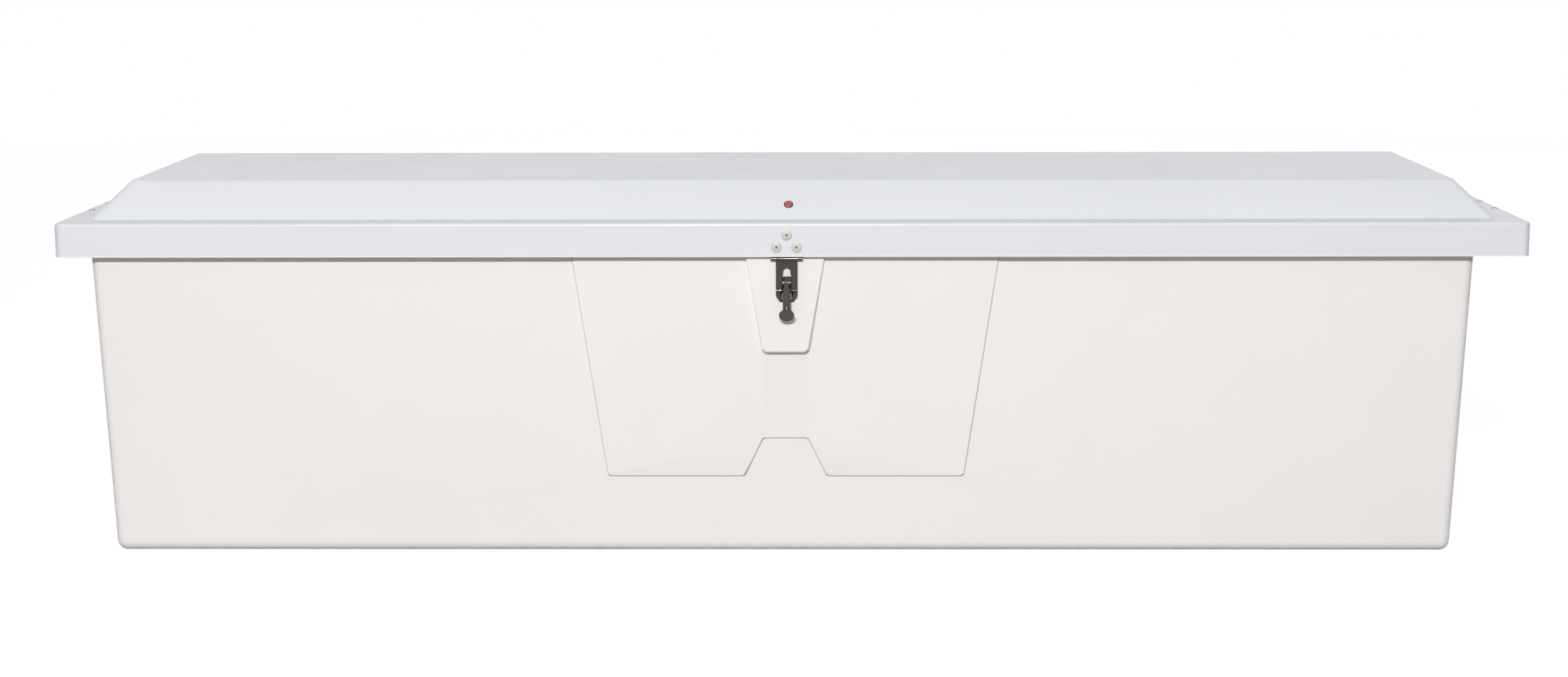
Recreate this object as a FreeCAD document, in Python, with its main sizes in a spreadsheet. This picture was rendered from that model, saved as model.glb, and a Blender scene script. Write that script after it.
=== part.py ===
import FreeCAD, Part
import os
import re
import Sketcher

# Dock box: a long moulded fibreglass tub under a hipped lid that opens on a rear hinge.
# Millimetres and degrees. The origin is the middle of the flat base, on the ground;
# X runs to the right, Y to the back and Z up.

SIZES = {
    # Tub moulding
    "base_length": 2122.0,
    "base_depth": 581.0,
    "tub_height": 519.0,
    "draft_angle": 2.1,
    "tub_wall": 5.0,
    "tub_corner": 16.0,
    "base_edge": 17.0,
    "rim_lip": 6.0,
    "rim_thickness": 5.0,
    # Raised panel on the tub's front, and the latch pad on it
    "panel_offset": 8.0,
    "panel_raise": 3.5,
    "panel_foot": 125.0,
    "panel_foot_half": 280.0,
    "panel_flare": 0.147,
    "notch_height": 62.0,
    "notch_top_half": 36.0,
    "notch_foot_half": 65.0,
    "panel_corner": 6.0,
    "pad_foot": 325.0,
    "pad_foot_half": 36.0,
    "pad_flare": 0.17,
    "pad_corner": 10.0,
    "pad_edge": 4.0,
    "pad_setback": 10.0,
    "pad_tuck": 6.0,
    # Lid moulding
    "side_overhang": 22.0,
    "end_overhang": 64.5,
    "lid_shift": 15.0,
    "skirt_height": 53.0,
    "lid_wall": 5.0,
    "lid_corner": 14.0,
    "lid_edge": 4.5,
    "flange_width": 44.4,
    "crown_inset": 100.0,
    "crown_height": 58.0,
    "hip_round": 16.0,
    "crown_edge": 9.0,
    "crown_foot": 5.0,
    "strip_height": 6.0,
    "strip_width": 8.0,
    "strip_end": 40.0,
    # Rear hinge
    "hinge_margin": 71.0,
    "knuckle_pairs": 13,
    "knuckle_radius": 4.0,
    "knuckle_gap": 0.6,
    "hinge_pin_radius": 2.0,
    "hinge_drop": 4.5,
    "leaf_thickness": 1.5,
    "leaf_lift": 0.4,
    "tub_leaf_height": 32.0,
    "lid_leaf_height": 36.0,
    "rivet_count": 7,
    "rivet_radius": 2.4,
    "rivet_head": 5.0,
    "rivet_head_height": 1.5,
    "rivet_tail": 3.6,
    "rivet_tail_height": 3.0,
    "running_gap": 0.05,
    "hole_gap": 0.1,
    "drill_length": 30.0,
    # Latch
    "latch_offset": 10.5,
    "strap_width": 33.5,
    "strap_thickness": 2.5,
    "strap_gap": 3.0,
    "plate_gap": 2.0,
    "strap_length": 64.5,
    "strap_end_round": 9.0,
    "slot_width": 11.5,
    "fork_width": 14.6,
    "slot_top": 14.0,
    "fork_top": 23.5,
    "fork_shoulder": 3.0,
    "bead_height": 15.0,
    "bead_radius": 2.6,
    "bead_end": 0.2,
    "latch_axis_drop": 3.5,
    "latch_knuckle": 3.0,
    "latch_pin_radius": 1.5,
    "latch_leaf_width": 50.0,
    "latch_leaf_height": 47.0,
    "latch_leaf_thickness": 2.0,
    "latch_rivet_head": 8.0,
    "latch_rivet_head_height": 2.0,
    "latch_rivet_spread": 31.0,
    "latch_rivet_low": 15.0,
    "latch_rivet_high": 34.0,
    # Keeper and cam lever
    "keeper_width": 26.0,
    "keeper_foot": 68.0,
    "keeper_height": 40.0,
    "keeper_thickness": 2.0,
    "ear_thickness": 2.3,
    "ear_gap": 8.4,
    "ear_radius": 5.4,
    "lever_axis_drop": 36.5,
    "lever_axis_reach": 12.4,
    "lever_pin_radius": 2.0,
    "lever_hub": 6.0,
    "lever_hub_width": 8.0,
    "lever_shank": 6.2,
    "lever_neck": 8.0,
    "lever_neck_half": 5.0,
    "lever_straight": 37.0,
    "lever_bend_radius": 10.0,
    "lever_bend": 55.0,
    "lever_flare_length": 7.0,
    "lever_flare": 12.0,
    "keeper_bolt_radius": 2.5,
    "keeper_bolt_head": 4.6,
    "keeper_bolt_spread": 16.0,
    "keeper_bolt_foot": 9.0,
    "keeper_bolt_tail": 2.0,
    "keeper_nut": 4.6,
    "keeper_nut_height": 5.0,
    "keeper_washer": 6.5,
    "keeper_washer_height": 1.2,
    # Badge on the front slope
    "badge_offset": 13.0,
    "badge_rise": 21.6,
    "badge_radius": 7.5,
    "badge_height": 1.6,
    # Gas struts under the lid's two overhanging ends
    "open_angle": 78.0,
    "strut_foot_forward": 80.6,
    "strut_foot_drop": 99.0,
    "strut_head_forward": 410.6,
    "strut_head_drop": 23.0,
    "strut_clearance": 3.0,
    "strut_tube_radius": 9.0,
    "strut_tube_wall": 1.5,
    "strut_tube_length": 225.0,
    "strut_rod_radius": 4.0,
    "strut_piston_length": 8.0,
    "strut_overlap": 24.0,
    "strut_end": 30.0,
    "strut_eye_radius": 8.0,
    "strut_eye_width": 10.0,
    "strut_stud_radius": 4.0,
    "strut_collar": 6.0,
    "strut_cap": 6.5,
    "strut_cap_height": 2.5,
    "strut_tube_chamfer": 3.0,
    "strut_tube_gland": 12.0,
    "strut_tube_end": 5.0,
    "strut_side_gap": 0.4,
    "strut_plate": 3.0,
    "foot_plate_depth": 44.0,
    "foot_plate_height": 44.0,
    "foot_rivet_spread": 28.0,
    "head_leaf_length": 125.0,
    "head_leaf_width": 14.5,
    "head_leaf_gap": 0.5,
    "head_rivet_spread": 100.0,
    "head_tab_half": 12.0,
    "head_tab_drop": 12.0,
}

# Places that several pieces share
SKIRT_FOOT = "(tub_height + strip_height + lid_wall - skirt_height)"
FLANGE_TOP = "(tub_height + strip_height + lid_wall)"
MOUTH_LENGTH = "(base_length + 2 * tub_height * tan(draft_angle))"
MOUTH_DEPTH = "(base_depth + 2 * tub_height * tan(draft_angle))"
LID_LENGTH = f"(base_length + 2 * {SKIRT_FOOT} * tan(draft_angle) + 2 * end_overhang)"
LID_DEPTH = f"(base_depth + 2 * {SKIRT_FOOT} * tan(draft_angle) + 2 * side_overhang)"
CROWN_MITRE = "(lid_wall * tan(atan2(crown_height; crown_inset - flange_width) / 2))"
HINGE_Y = f"({LID_DEPTH} / 2 - lid_wall - leaf_lift - knuckle_radius)"
HINGE_Z = f"({SKIRT_FOOT} - hinge_drop)"
HINGE_LENGTH = "(base_length - 2 * hinge_margin)"
HINGE_START = f"(-{HINGE_LENGTH} / 2)"
KNUCKLE_PITCH = f"({HINGE_LENGTH} / knuckle_pairs / 2)"
PAD_FACE = f"({LID_DEPTH} / 2 - pad_setback)"
LATCH_Y = f"({LID_DEPTH} / 2 - lid_wall)"
LATCH_Z = f"({SKIRT_FOOT} - latch_axis_drop)"
LEVER_Y = f"({PAD_FACE} + lever_axis_reach)"
LEVER_Z = f"({LATCH_Z} - lever_axis_drop)"
STRUT_X = f"({MOUTH_LENGTH} / 2 + rim_lip + strut_clearance + strut_tube_radius)"
STRUT_FOOT_Y = f"({HINGE_Y} - strut_foot_forward)"
STRUT_FOOT_Z = "(tub_height - strut_foot_drop)"
STRUT_HEAD_Y = f"({HINGE_Y} - strut_head_forward)"
STRUT_HEAD_Z = "(tub_height + strip_height - strut_head_drop)"
STRUT_BACK = "(strut_head_forward - strut_foot_forward)"
STRUT_RISE = f"({STRUT_HEAD_Z} - {STRUT_FOOT_Z})"
STRUT_LENGTH = f"hypot({STRUT_BACK}; {STRUT_RISE})"
STRUT_LEAN = f"atan2({STRUT_BACK}; {STRUT_RISE})"
HEAD_RISE = f"({STRUT_HEAD_Z} - {HINGE_Z})"
OPEN_HEAD_FORWARD = f"(strut_head_forward * cos(open_angle) - {HEAD_RISE} * sin(open_angle))"
OPEN_HEAD_Z = f"({HINGE_Z} + strut_head_forward * sin(open_angle) + {HEAD_RISE} * cos(open_angle))"
OPEN_LENGTH = f"hypot(strut_foot_forward - {OPEN_HEAD_FORWARD}; {OPEN_HEAD_Z} - {STRUT_FOOT_Z})"

X_DIRECTION = FreeCAD.Vector(1, 0, 0)
Y_DIRECTION = FreeCAD.Vector(0, 1, 0)
Z_DIRECTION = FreeCAD.Vector(0, 0, 1)
# The turn that lays an upright piece towards one side of the box, and the side opposite
TOWARD = {
    "right": (Y_DIRECTION, 90, "left"),
    "left": (Y_DIRECTION, -90, "right"),
    "front": (X_DIRECTION, 90, "back"),
    "back": (X_DIRECTION, -90, "front"),
    "down": (X_DIRECTION, 180, "up"),
    "up": (X_DIRECTION, 0, "down"),
}

doc = FreeCAD.newDocument("DockBox")
sheet = doc.addObject("Spreadsheet::Sheet", "Sizes")
for row, (alias, number) in enumerate(SIZES.items(), start=1):
    sheet.set(f"A{row}", alias)
    sheet.set(f"B{row}", str(number))
    sheet.setAlias(f"B{row}", alias)
doc.recompute()

ALIASES = re.compile(r"\b(" + "|".join(SIZES) + r")\b")
nodes = {}


def formula(text):
    """A formula in plain size names, as the document's expressions write it."""
    return ALIASES.sub(r"Sizes.\1", text)


def bind(thing, **formulas):
    """Tie properties to formulas; a double underscore stands for a dot."""
    for name, text in formulas.items():
        thing.setExpression(name.replace("__", "."), formula(text))


def keep(name, thing):
    """Make an object a finished piece: its label names its file."""
    thing.Label = name
    nodes[name] = thing
    return thing


# Sketches and features of a body

def new_body(name):
    body = doc.addObject("PartDesign::Body", name)
    body.AllowCompound = True
    return body


def own_plane(body, role):
    """One of the planes or axes of a body's own origin."""
    return [part for part in body.Origin.OriginFeatures if part.Role == role][0]


def new_sketch(body, plane, x="0", y="0", z="0", turn=None, turn_axis=X_DIRECTION):
    """A sketch on one of the body's own planes, shifted and turned in that plane's frame."""
    sketch = body.newObject("Sketcher::SketchObject", body.Name + "_sketch")
    sketch.AttachmentSupport = [(own_plane(body, plane + "_Plane"), "")]
    sketch.MapMode = "FlatFace"
    bind(sketch, AttachmentOffset__Base__x=x, AttachmentOffset__Base__y=y, AttachmentOffset__Base__z=z)
    if turn is not None:
        sketch.AttachmentOffset = FreeCAD.Placement(FreeCAD.Vector(), FreeCAD.Rotation(turn_axis, 10))
        bind(sketch, AttachmentOffset__Rotation__Angle=turn)
    return sketch


def measure(sketch, text, *constraint):
    """A dimension of a sketch that follows a formula; it ends in a rough value to start from."""
    index = sketch.addConstraint(Sketcher.Constraint(*constraint))
    sketch.setExpression(f"Constraints[{index}]", formula(text))


def place_point(sketch, curve, end, x, y):
    measure(sketch, x, "DistanceX", -1, 1, curve, end, 1.0)
    measure(sketch, y, "DistanceY", -1, 1, curve, end, 1.0)


def outline(body, plane, points, **place):
    """A closed outline through points that are given as formulas."""
    sketch = new_sketch(body, plane, **place)
    count = len(points)
    rough = [FreeCAD.Vector(30 * (i % 3) + i, 20 * i, 0) for i in range(count)]
    for i in range(count):
        sketch.addGeometry(Part.LineSegment(rough[i], rough[(i + 1) % count]), False)
    for i in range(count):
        sketch.addConstraint(Sketcher.Constraint("Coincident", i, 2, (i + 1) % count, 1))
    for i, (x, y) in enumerate(points):
        place_point(sketch, i, 1, x, y)
    return sketch


def rectangle(body, length, depth, z):
    """A level rectangle about the vertical axis."""
    half = (f"({length}) / 2", f"({depth}) / 2")
    signs = (("-", "-"), ("", "-"), ("", ""), ("-", ""))
    return outline(body, "XY", [(a + half[0], b + half[1]) for a, b in signs], z=z)


def circle(body, plane, radius, **place):
    sketch = new_sketch(body, plane, **place)
    sketch.addGeometry(Part.Circle(FreeCAD.Vector(), Z_DIRECTION, 5), False)
    sketch.addConstraint(Sketcher.Constraint("Coincident", 0, 3, -1, 1))
    measure(sketch, radius, "Radius", 0, 5.0)
    return sketch


def pad(body, sketch, length, both=False, reverse=False, cut=False):
    kind = "PartDesign::Pocket" if cut else "PartDesign::Pad"
    feature = body.newObject(kind, body.Name + ("_pocket" if cut else "_pad"))
    feature.Profile = sketch
    feature.Midplane = both
    feature.Reversed = reverse
    bind(feature, Length=length)
    doc.recompute()
    return feature


def revolve(body, sketch, axis="H_Axis"):
    feature = body.newObject("PartDesign::Revolution", body.Name + "_turned")
    feature.Profile = sketch
    feature.ReferenceAxis = (sketch, [axis])
    feature.Angle = 360
    doc.recompute()
    return feature


def draft(body, angle, level, face_up, wanted):
    """Lean the upright faces that pass a test, to look up or down; one level keeps its outline."""
    base = body.Tip
    names = []
    for i, face in enumerate(base.Shape.Faces, start=1):
        flat = isinstance(face.Surface, Part.Plane)
        if flat and abs(face.normalAt(0, 0).z) < 0.0001 and wanted(face.BoundBox):
            names.append(f"Face{i}")
    neutral = body.newObject("PartDesign::Plane", body.Name + "_level")
    neutral.AttachmentSupport = [(own_plane(body, "XY_Plane"), "")]
    neutral.MapMode = "FlatFace"
    bind(neutral, AttachmentOffset__Base__z=level)
    feature = body.newObject("PartDesign::Draft", body.Name + "_draft")
    feature.Base = (base, names)
    feature.NeutralPlane = (neutral, [""])
    feature.Reversed = not face_up
    bind(feature, Angle=angle)
    doc.recompute()
    return feature


def repeat(body, features, count, length):
    """Repeat features along X."""
    pattern = body.newObject("PartDesign::LinearPattern", body.Name + "_row")
    pattern.Originals = features
    pattern.Direction = (own_plane(body, "X_Axis"), [""])
    bind(pattern, Length=length, Occurrences=count)
    body.Tip = pattern
    doc.recompute()
    return pattern


def round_edges(body, radius, wanted):
    """Round the edges of the body's last feature that pass a test."""
    base = body.Tip
    names = [f"Edge{i}" for i, edge in enumerate(base.Shape.Edges, start=1) if wanted(edge)]
    feature = body.newObject("PartDesign::Fillet", body.Name + "_round")
    feature.Base = (base, names)
    bind(feature, Radius=radius)
    doc.recompute()
    return feature


def spans(edge, direction, share=0.9):
    """Whether a straight edge runs mainly along a direction."""
    ends = edge.Vertexes
    if len(ends) < 2:
        return False
    chord = ends[-1].Point - ends[0].Point
    straight = edge.Length < chord.Length + 0.001
    return straight and abs(chord.dot(direction)) > share * chord.Length


def level_at(edge, height):
    box = edge.BoundBox
    return abs(box.ZMin - height) < 0.01 and abs(box.ZMax - height) < 0.01


# Simple solids and their combinations

def set_place(thing, x, y, z, toward="up", lean="0"):
    """Place a piece and lay it towards one side; a leaning one also tips down by an angle."""
    axis, turn, _ = TOWARD[toward]
    thing.Placement = FreeCAD.Placement(FreeCAD.Vector(), FreeCAD.Rotation(axis, turn))
    bind(thing, Placement__Base__x=x, Placement__Base__y=y, Placement__Base__z=z)
    if lean != "0":
        sign = "-" if turn < 0 else ""
        bind(thing, Placement__Rotation__Angle=f"{sign}(90 + {lean})")
    return thing


def behind(x, y, z, toward, distance, lean="0"):
    """The point a distance behind a seat, against the way a fixing on it faces."""
    level = f"({distance}) * cos({lean})"
    risen = f"{z} + ({distance}) * sin({lean})"
    return {
        "up": (x, y, f"{z} - ({distance})"),
        "left": (f"{x} + {level}", y, risen),
        "right": (f"{x} - {level}", y, risen),
        "front": (x, f"{y} + {level}", risen),
        "back": (x, f"{y} - {level}", risen),
    }[toward]


def cylinder(name, radius, length, x, y, z, toward="up", lean="0"):
    thing = doc.addObject("Part::Cylinder", name)
    bind(thing, Radius=radius, Height=length)
    return set_place(thing, x, y, z, toward, lean)


def cone(name, foot, top, length, x, y, z, toward="up", lean="0"):
    thing = doc.addObject("Part::Cone", name)
    bind(thing, Radius1=foot, Radius2=top, Height=length)
    return set_place(thing, x, y, z, toward, lean)


def box(name, length, depth, height, x, y, z):
    thing = doc.addObject("Part::Box", name)
    bind(thing, Length=length, Width=depth, Height=height)
    return set_place(thing, x, y, z)


def fuse(name, *pieces):
    thing = doc.addObject("Part::MultiFuse", name)
    thing.Shapes = list(pieces)
    thing.Refine = True
    return thing


def group(name, pieces):
    thing = doc.addObject("Part::Compound", name)
    thing.Links = list(pieces)
    return thing


def cut(name, base, tool):
    thing = doc.addObject("Part::Cut", name)
    thing.Base = base
    thing.Tool = tool
    thing.Refine = True
    return thing


def rivet(name, head, head_height, grip, x, y, z, toward, lean="0"):
    """A blind rivet: domed head outside, shank through the grip, set tail behind it."""
    inward = TOWARD[toward][2]
    rise = "0" if lean == "0" else f"-{lean}"
    back = behind(x, y, z, toward, grip, lean)
    dome = cone(name + "_dome", head, f"0.6 * {head}", head_height, x, y, z, toward, lean)
    shank = cylinder(name + "_shank", "rivet_radius", grip, x, y, z, inward, rise)
    bulb = cone(name + "_bulb", "rivet_tail", "0.75 * rivet_tail", "rivet_tail_height", *back, inward, rise)
    return fuse(name, dome, shank, bulb)


def rivet_hole(name, x, y, z, toward, lean="0"):
    """A drill that runs well past both faces of what a rivet holds."""
    start = behind(x, y, z, toward, "drill_length / 2", lean)
    return cylinder(name, "rivet_radius + hole_gap", "drill_length", *start, toward, lean)


# Tub: a deep drafted moulding with a turned-out rim, a raised front panel and a latch pad

tub = new_body("tub_form")
foot = rectangle(tub, "base_length", "base_depth", "0")
pad(tub, foot, "tub_height")
draft(tub, "draft_angle", "0", False, lambda box: True)
round_edges(tub, "tub_corner", lambda edge: spans(edge, Z_DIRECTION))

rim = rectangle(tub, f"{MOUTH_LENGTH} + 2 * rim_lip", f"{MOUTH_DEPTH} + 2 * rim_lip", "tub_height")
pad(tub, rim, "rim_thickness", reverse=True)
rim_reach = tub.Tip.Shape.BoundBox.XMax - 0.01
round_edges(tub, "tub_corner + rim_lip",
            lambda edge: spans(edge, Z_DIRECTION, 0.999) and abs(edge.BoundBox.XMax) > rim_reach
            or spans(edge, Z_DIRECTION, 0.999) and edge.BoundBox.XMin < -rim_reach)

# The panel's sketch leans with the front wall and starts inside it
PANEL_TOP = "(tub_height - rim_thickness)"
PANEL_TOP_HALF = f"(panel_foot_half + ({PANEL_TOP} - panel_foot) * panel_flare)"
panel_right = [
    ("notch_top_half", "panel_foot + notch_height"),
    ("notch_foot_half", "panel_foot"),
    ("panel_foot_half", "panel_foot"),
    (PANEL_TOP_HALF, PANEL_TOP),
]
panel_left = [("-" + x, y) for x, y in reversed(panel_right)]
panel = outline(tub, "XZ", panel_right + panel_left, x="panel_offset",
                z="base_depth / 2 - tub_wall / 2", turn="draft_angle")
pad(tub, panel, "tub_wall / 2 + panel_raise")
panel_front = tub.Tip.Shape.BoundBox.YMin


def on_panel_side(edge):
    box = edge.BoundBox
    crosses = spans(edge, Y_DIRECTION, 0.99) and edge.Length < 2 * SIZES["panel_raise"]
    low = box.ZMax < SIZES["panel_foot"] + SIZES["notch_height"] + 1
    return crosses and low and abs(box.Center.x - SIZES["panel_offset"]) < SIZES["panel_foot_half"] + 1


round_edges(tub, "panel_corner", on_panel_side)

PAD_TOP = f"({SKIRT_FOOT} + pad_tuck)"
PAD_TOP_HALF = f"(pad_foot_half + ({PAD_TOP} - pad_foot) * pad_flare)"
pad_right = [("pad_foot_half", "pad_foot"), (PAD_TOP_HALF, PAD_TOP)]
pad_left = [("-" + x, y) for x, y in reversed(pad_right)]
latch_pad = outline(tub, "XZ", pad_right + pad_left, x="panel_offset", z=PAD_FACE)
pad(tub, latch_pad, f"{PAD_FACE} - base_depth / 2 - pad_foot * tan(draft_angle) + tub_wall / 2", reverse=True)
pad_front = -(latch_pad.AttachmentOffset.Base.z)


def on_pad_side(edge):
    box = edge.BoundBox
    low = box.ZMax < SIZES["pad_foot"] + 1
    return spans(edge, Y_DIRECTION, 0.999) and abs(box.YMin - pad_front) < 0.01 and low


def on_pad_face(edge):
    box = edge.BoundBox
    return abs(box.YMin - pad_front) < 0.01 and abs(box.YMax - pad_front) < 0.01


round_edges(tub, "pad_corner", on_pad_side)
round_edges(tub, "pad_edge", on_pad_face)

FLOOR_SIDE = "(2 * tub_wall - 2 * tub_wall * tan(draft_angle))"
hollow = rectangle(tub, f"base_length - {FLOOR_SIDE}", f"base_depth - {FLOOR_SIDE}", "tub_wall")
pad(tub, hollow, "tub_height - tub_wall", reverse=True, cut=True)
hollow_floor = hollow.AttachmentOffset.Base.z
draft(tub, "draft_angle", "tub_wall", True, lambda box: abs(box.ZMin - hollow_floor) < 0.01)


def inside_corner(edge):
    box = edge.BoundBox
    tall = box.ZLength > 0.9 * (SIZES["tub_height"] - 2 * SIZES["tub_wall"])
    return spans(edge, Z_DIRECTION) and tall and abs(box.ZMin - hollow_floor) < 0.01


round_edges(tub, "tub_corner - tub_wall", inside_corner)
round_edges(tub, "base_edge - tub_wall", lambda edge: level_at(edge, hollow_floor))
round_edges(tub, "base_edge", lambda edge: level_at(edge, 0))

# Lid: an upright skirt, a flat flange and a hipped crown, hollow below

lid = new_body("lid_form")
skirt = rectangle(lid, LID_LENGTH, LID_DEPTH, SKIRT_FOOT)
pad(lid, skirt, "skirt_height")
round_edges(lid, "lid_corner", lambda edge: spans(edge, Z_DIRECTION))
CROWN_LEAN = "atan2(crown_inset - flange_width; crown_height)"
crown = rectangle(lid, f"{LID_LENGTH} - 2 * flange_width", f"{LID_DEPTH} - 2 * flange_width", FLANGE_TOP)
pad(lid, crown, "crown_height")
flange_level = crown.AttachmentOffset.Base.z
crown_level = lid.Tip.Shape.BoundBox.ZMax
draft(lid, CROWN_LEAN, FLANGE_TOP, True, lambda box: abs(box.ZMin - flange_level) < 0.01)


def on_hip(edge):
    box = edge.BoundBox
    rises = abs(box.ZMin - flange_level) < 0.01 and abs(box.ZMax - crown_level) < 0.01
    return rises and spans(edge, Z_DIRECTION, 0.3)


def on_skirt_top(edge):
    box = edge.BoundBox
    whole = lid.Tip.Shape.BoundBox
    outer = box.XMin < whole.XMin + 20 or box.XMax > whole.XMax - 20
    outer = outer or box.YMin < whole.YMin + 20 or box.YMax > whole.YMax - 20
    return level_at(edge, flange_level) and outer


def on_crown_foot(edge):
    return level_at(edge, flange_level) and not on_skirt_top(edge)


round_edges(lid, "hip_round", on_hip)
round_edges(lid, "crown_edge", lambda edge: level_at(edge, crown_level))
round_edges(lid, "crown_foot", on_crown_foot)
round_edges(lid, "lid_edge", on_skirt_top)

well = rectangle(lid, f"{LID_LENGTH} - 2 * lid_wall", f"{LID_DEPTH} - 2 * lid_wall", SKIRT_FOOT)
pad(lid, well, "skirt_height - lid_wall", reverse=True, cut=True)
ATTIC_TOP = f"({FLANGE_TOP} + crown_height - lid_wall)"
attic = rectangle(lid, f"{LID_LENGTH} - 2 * crown_inset - 2 * {CROWN_MITRE}",
                  f"{LID_DEPTH} - 2 * crown_inset - 2 * {CROWN_MITRE}", ATTIC_TOP)
pad(lid, attic, "crown_height", cut=True)
attic_top = attic.AttachmentOffset.Base.z
draft(lid, CROWN_LEAN, ATTIC_TOP, False, lambda box: abs(box.ZMax - attic_top) < 0.01)
bind(lid, Placement__Base__x="lid_shift")

# Rubber strips on the front and rear rim, which carry the lid

STRIP_Y = f"({MOUTH_DEPTH} / 2 + rim_lip - tub_wall / 2 - strip_width / 2)"
strips = [
    box("strip_" + side, f"{MOUTH_LENGTH} - 2 * strip_end", "strip_width", "strip_height",
        f"strip_end - {MOUTH_LENGTH} / 2", f"{sign}{STRIP_Y} - strip_width / 2", "tub_height")
    for side, sign in (("front", "-"), ("rear", ""))
]
keep("rim_strips", group("rim_strips", strips))

# Rear hinge: two long leaves with alternate knuckles on one pin

WALL_SLOPE = "tan(draft_angle)"
LEAF_FLOOR = f"({HINGE_Z} - knuckle_radius)"
LEAF_FOOT = f"({LEAF_FLOOR} - tub_leaf_height)"


def rear_wall(z, out="0"):
    return f"(base_depth / 2 + ({z}) * {WALL_SLOPE} + {out})"


def hinge_leaf(name, profile, notch, first):
    """A leaf with every second knuckle, counted from the first one, and room for the others."""
    leaf = new_body(name)
    plate = outline(leaf, "YZ", profile, z=HINGE_START)
    pad(leaf, plate, HINGE_LENGTH)
    other = 1 - first
    gap = outline(leaf, "YZ", notch, z=f"{HINGE_START} + {other} * {KNUCKLE_PITCH}")
    gap_cut = pad(leaf, gap, KNUCKLE_PITCH, cut=True, reverse=True)
    repeat(leaf, [gap_cut], "knuckle_pairs", f"{HINGE_LENGTH} - 2 * {KNUCKLE_PITCH}")
    barrel = circle(leaf, "YZ", "knuckle_radius", x=HINGE_Y, y=HINGE_Z,
                    z=f"{HINGE_START} + {first} * {KNUCKLE_PITCH} + knuckle_gap / 2")
    barrel_pad = pad(leaf, barrel, f"{KNUCKLE_PITCH} - knuckle_gap")
    repeat(leaf, [barrel_pad], "knuckle_pairs", f"{HINGE_LENGTH} - 2 * {KNUCKLE_PITCH}")
    bore = circle(leaf, "YZ", "hinge_pin_radius + running_gap", x=HINGE_Y, y=HINGE_Z, z=HINGE_START)
    pad(leaf, bore, HINGE_LENGTH, cut=True, reverse=True)
    return leaf


tub_leaf = hinge_leaf(
    "tub_leaf_form",
    [
        (HINGE_Y, LEAF_FLOOR),
        (HINGE_Y, f"{LEAF_FLOOR} + leaf_thickness"),
        (rear_wall(f"{LEAF_FLOOR} + leaf_thickness"), f"{LEAF_FLOOR} + leaf_thickness"),
        (rear_wall(LEAF_FOOT), LEAF_FOOT),
        (rear_wall(LEAF_FOOT, "leaf_thickness"), LEAF_FOOT),
        (rear_wall(LEAF_FLOOR, "leaf_thickness"), LEAF_FLOOR),
    ],
    [
        (f"{HINGE_Y} - knuckle_radius - knuckle_gap", f"{LEAF_FLOOR} - knuckle_gap"),
        (f"{HINGE_Y} + knuckle_radius", f"{LEAF_FLOOR} - knuckle_gap"),
        (f"{HINGE_Y} + knuckle_radius", HINGE_Z),
        (f"{HINGE_Y} - knuckle_radius - knuckle_gap", HINGE_Z),
    ],
    first=0,
)
LID_LEAF_BACK = f"({HINGE_Y} + knuckle_radius + leaf_lift)"
lid_leaf = hinge_leaf(
    "lid_leaf_form",
    [
        (f"{LID_LEAF_BACK} - leaf_thickness", HINGE_Z),
        (LID_LEAF_BACK, HINGE_Z),
        (LID_LEAF_BACK, f"{HINGE_Z} + lid_leaf_height"),
        (f"{LID_LEAF_BACK} - leaf_thickness", f"{HINGE_Z} + lid_leaf_height"),
    ],
    [
        (f"{HINGE_Y}", f"{HINGE_Z} - knuckle_radius"),
        (f"{HINGE_Y} + 2 * knuckle_radius", f"{HINGE_Z} - knuckle_radius"),
        (f"{HINGE_Y} + 2 * knuckle_radius", f"{HINGE_Z} + knuckle_radius + knuckle_gap"),
        (f"{HINGE_Y}", f"{HINGE_Z} + knuckle_radius + knuckle_gap"),
    ],
    first=1,
)
keep("hinge_pin", cylinder("hinge_pin", "hinge_pin_radius", HINGE_LENGTH, HINGE_START,
                           HINGE_Y, HINGE_Z, "right"))

RIVET_STEP = f"({HINGE_LENGTH} / rivet_count)"
TUB_RIVET_Z = f"({LEAF_FLOOR} - tub_leaf_height / 2)"
LID_RIVET_Z = f"({HINGE_Z} + lid_leaf_height * 0.6)"
tub_rivets = []
lid_rivets = []
tub_drills = []
lid_drills = []
for i in range(int(SIZES["rivet_count"])):
    along = f"{HINGE_START} + {RIVET_STEP} * ({i} + 0.5)"
    seat = rear_wall(TUB_RIVET_Z, "leaf_thickness")
    tub_rivets.append(rivet(f"tub_rivet_{i}", "rivet_head", "rivet_head_height", "leaf_thickness + tub_wall",
                            along, seat, TUB_RIVET_Z, "back", "draft_angle"))
    tub_drills.append(rivet_hole(f"tub_drill_{i}", along, seat, TUB_RIVET_Z, "back", "draft_angle"))
    lid_rivets.append(rivet(f"lid_rivet_{i}", "rivet_head", "rivet_head_height", "leaf_thickness + lid_wall",
                            along, f"{LID_DEPTH} / 2", LID_RIVET_Z, "back"))
    lid_drills.append(rivet_hole(f"lid_drill_{i}", along, f"{LID_DEPTH} / 2", LID_RIVET_Z, "back"))
keep("tub_hinge_rivets", group("tub_hinge_rivets", tub_rivets))
keep("lid_hinge_rivets", group("lid_hinge_rivets", lid_rivets))
tub_hinge_drill = group("tub_hinge_drill", tub_drills)
lid_hinge_drill = group("lid_hinge_drill", lid_drills)
keep("hinge_tub_leaf", cut("hinge_tub_leaf", tub_leaf, tub_hinge_drill))
keep("hinge_lid_leaf", cut("hinge_lid_leaf", lid_leaf, lid_hinge_drill))

# Latch hinge: a leaf riveted inside the front skirt, a pin, and the forked strap that hangs from it

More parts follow.
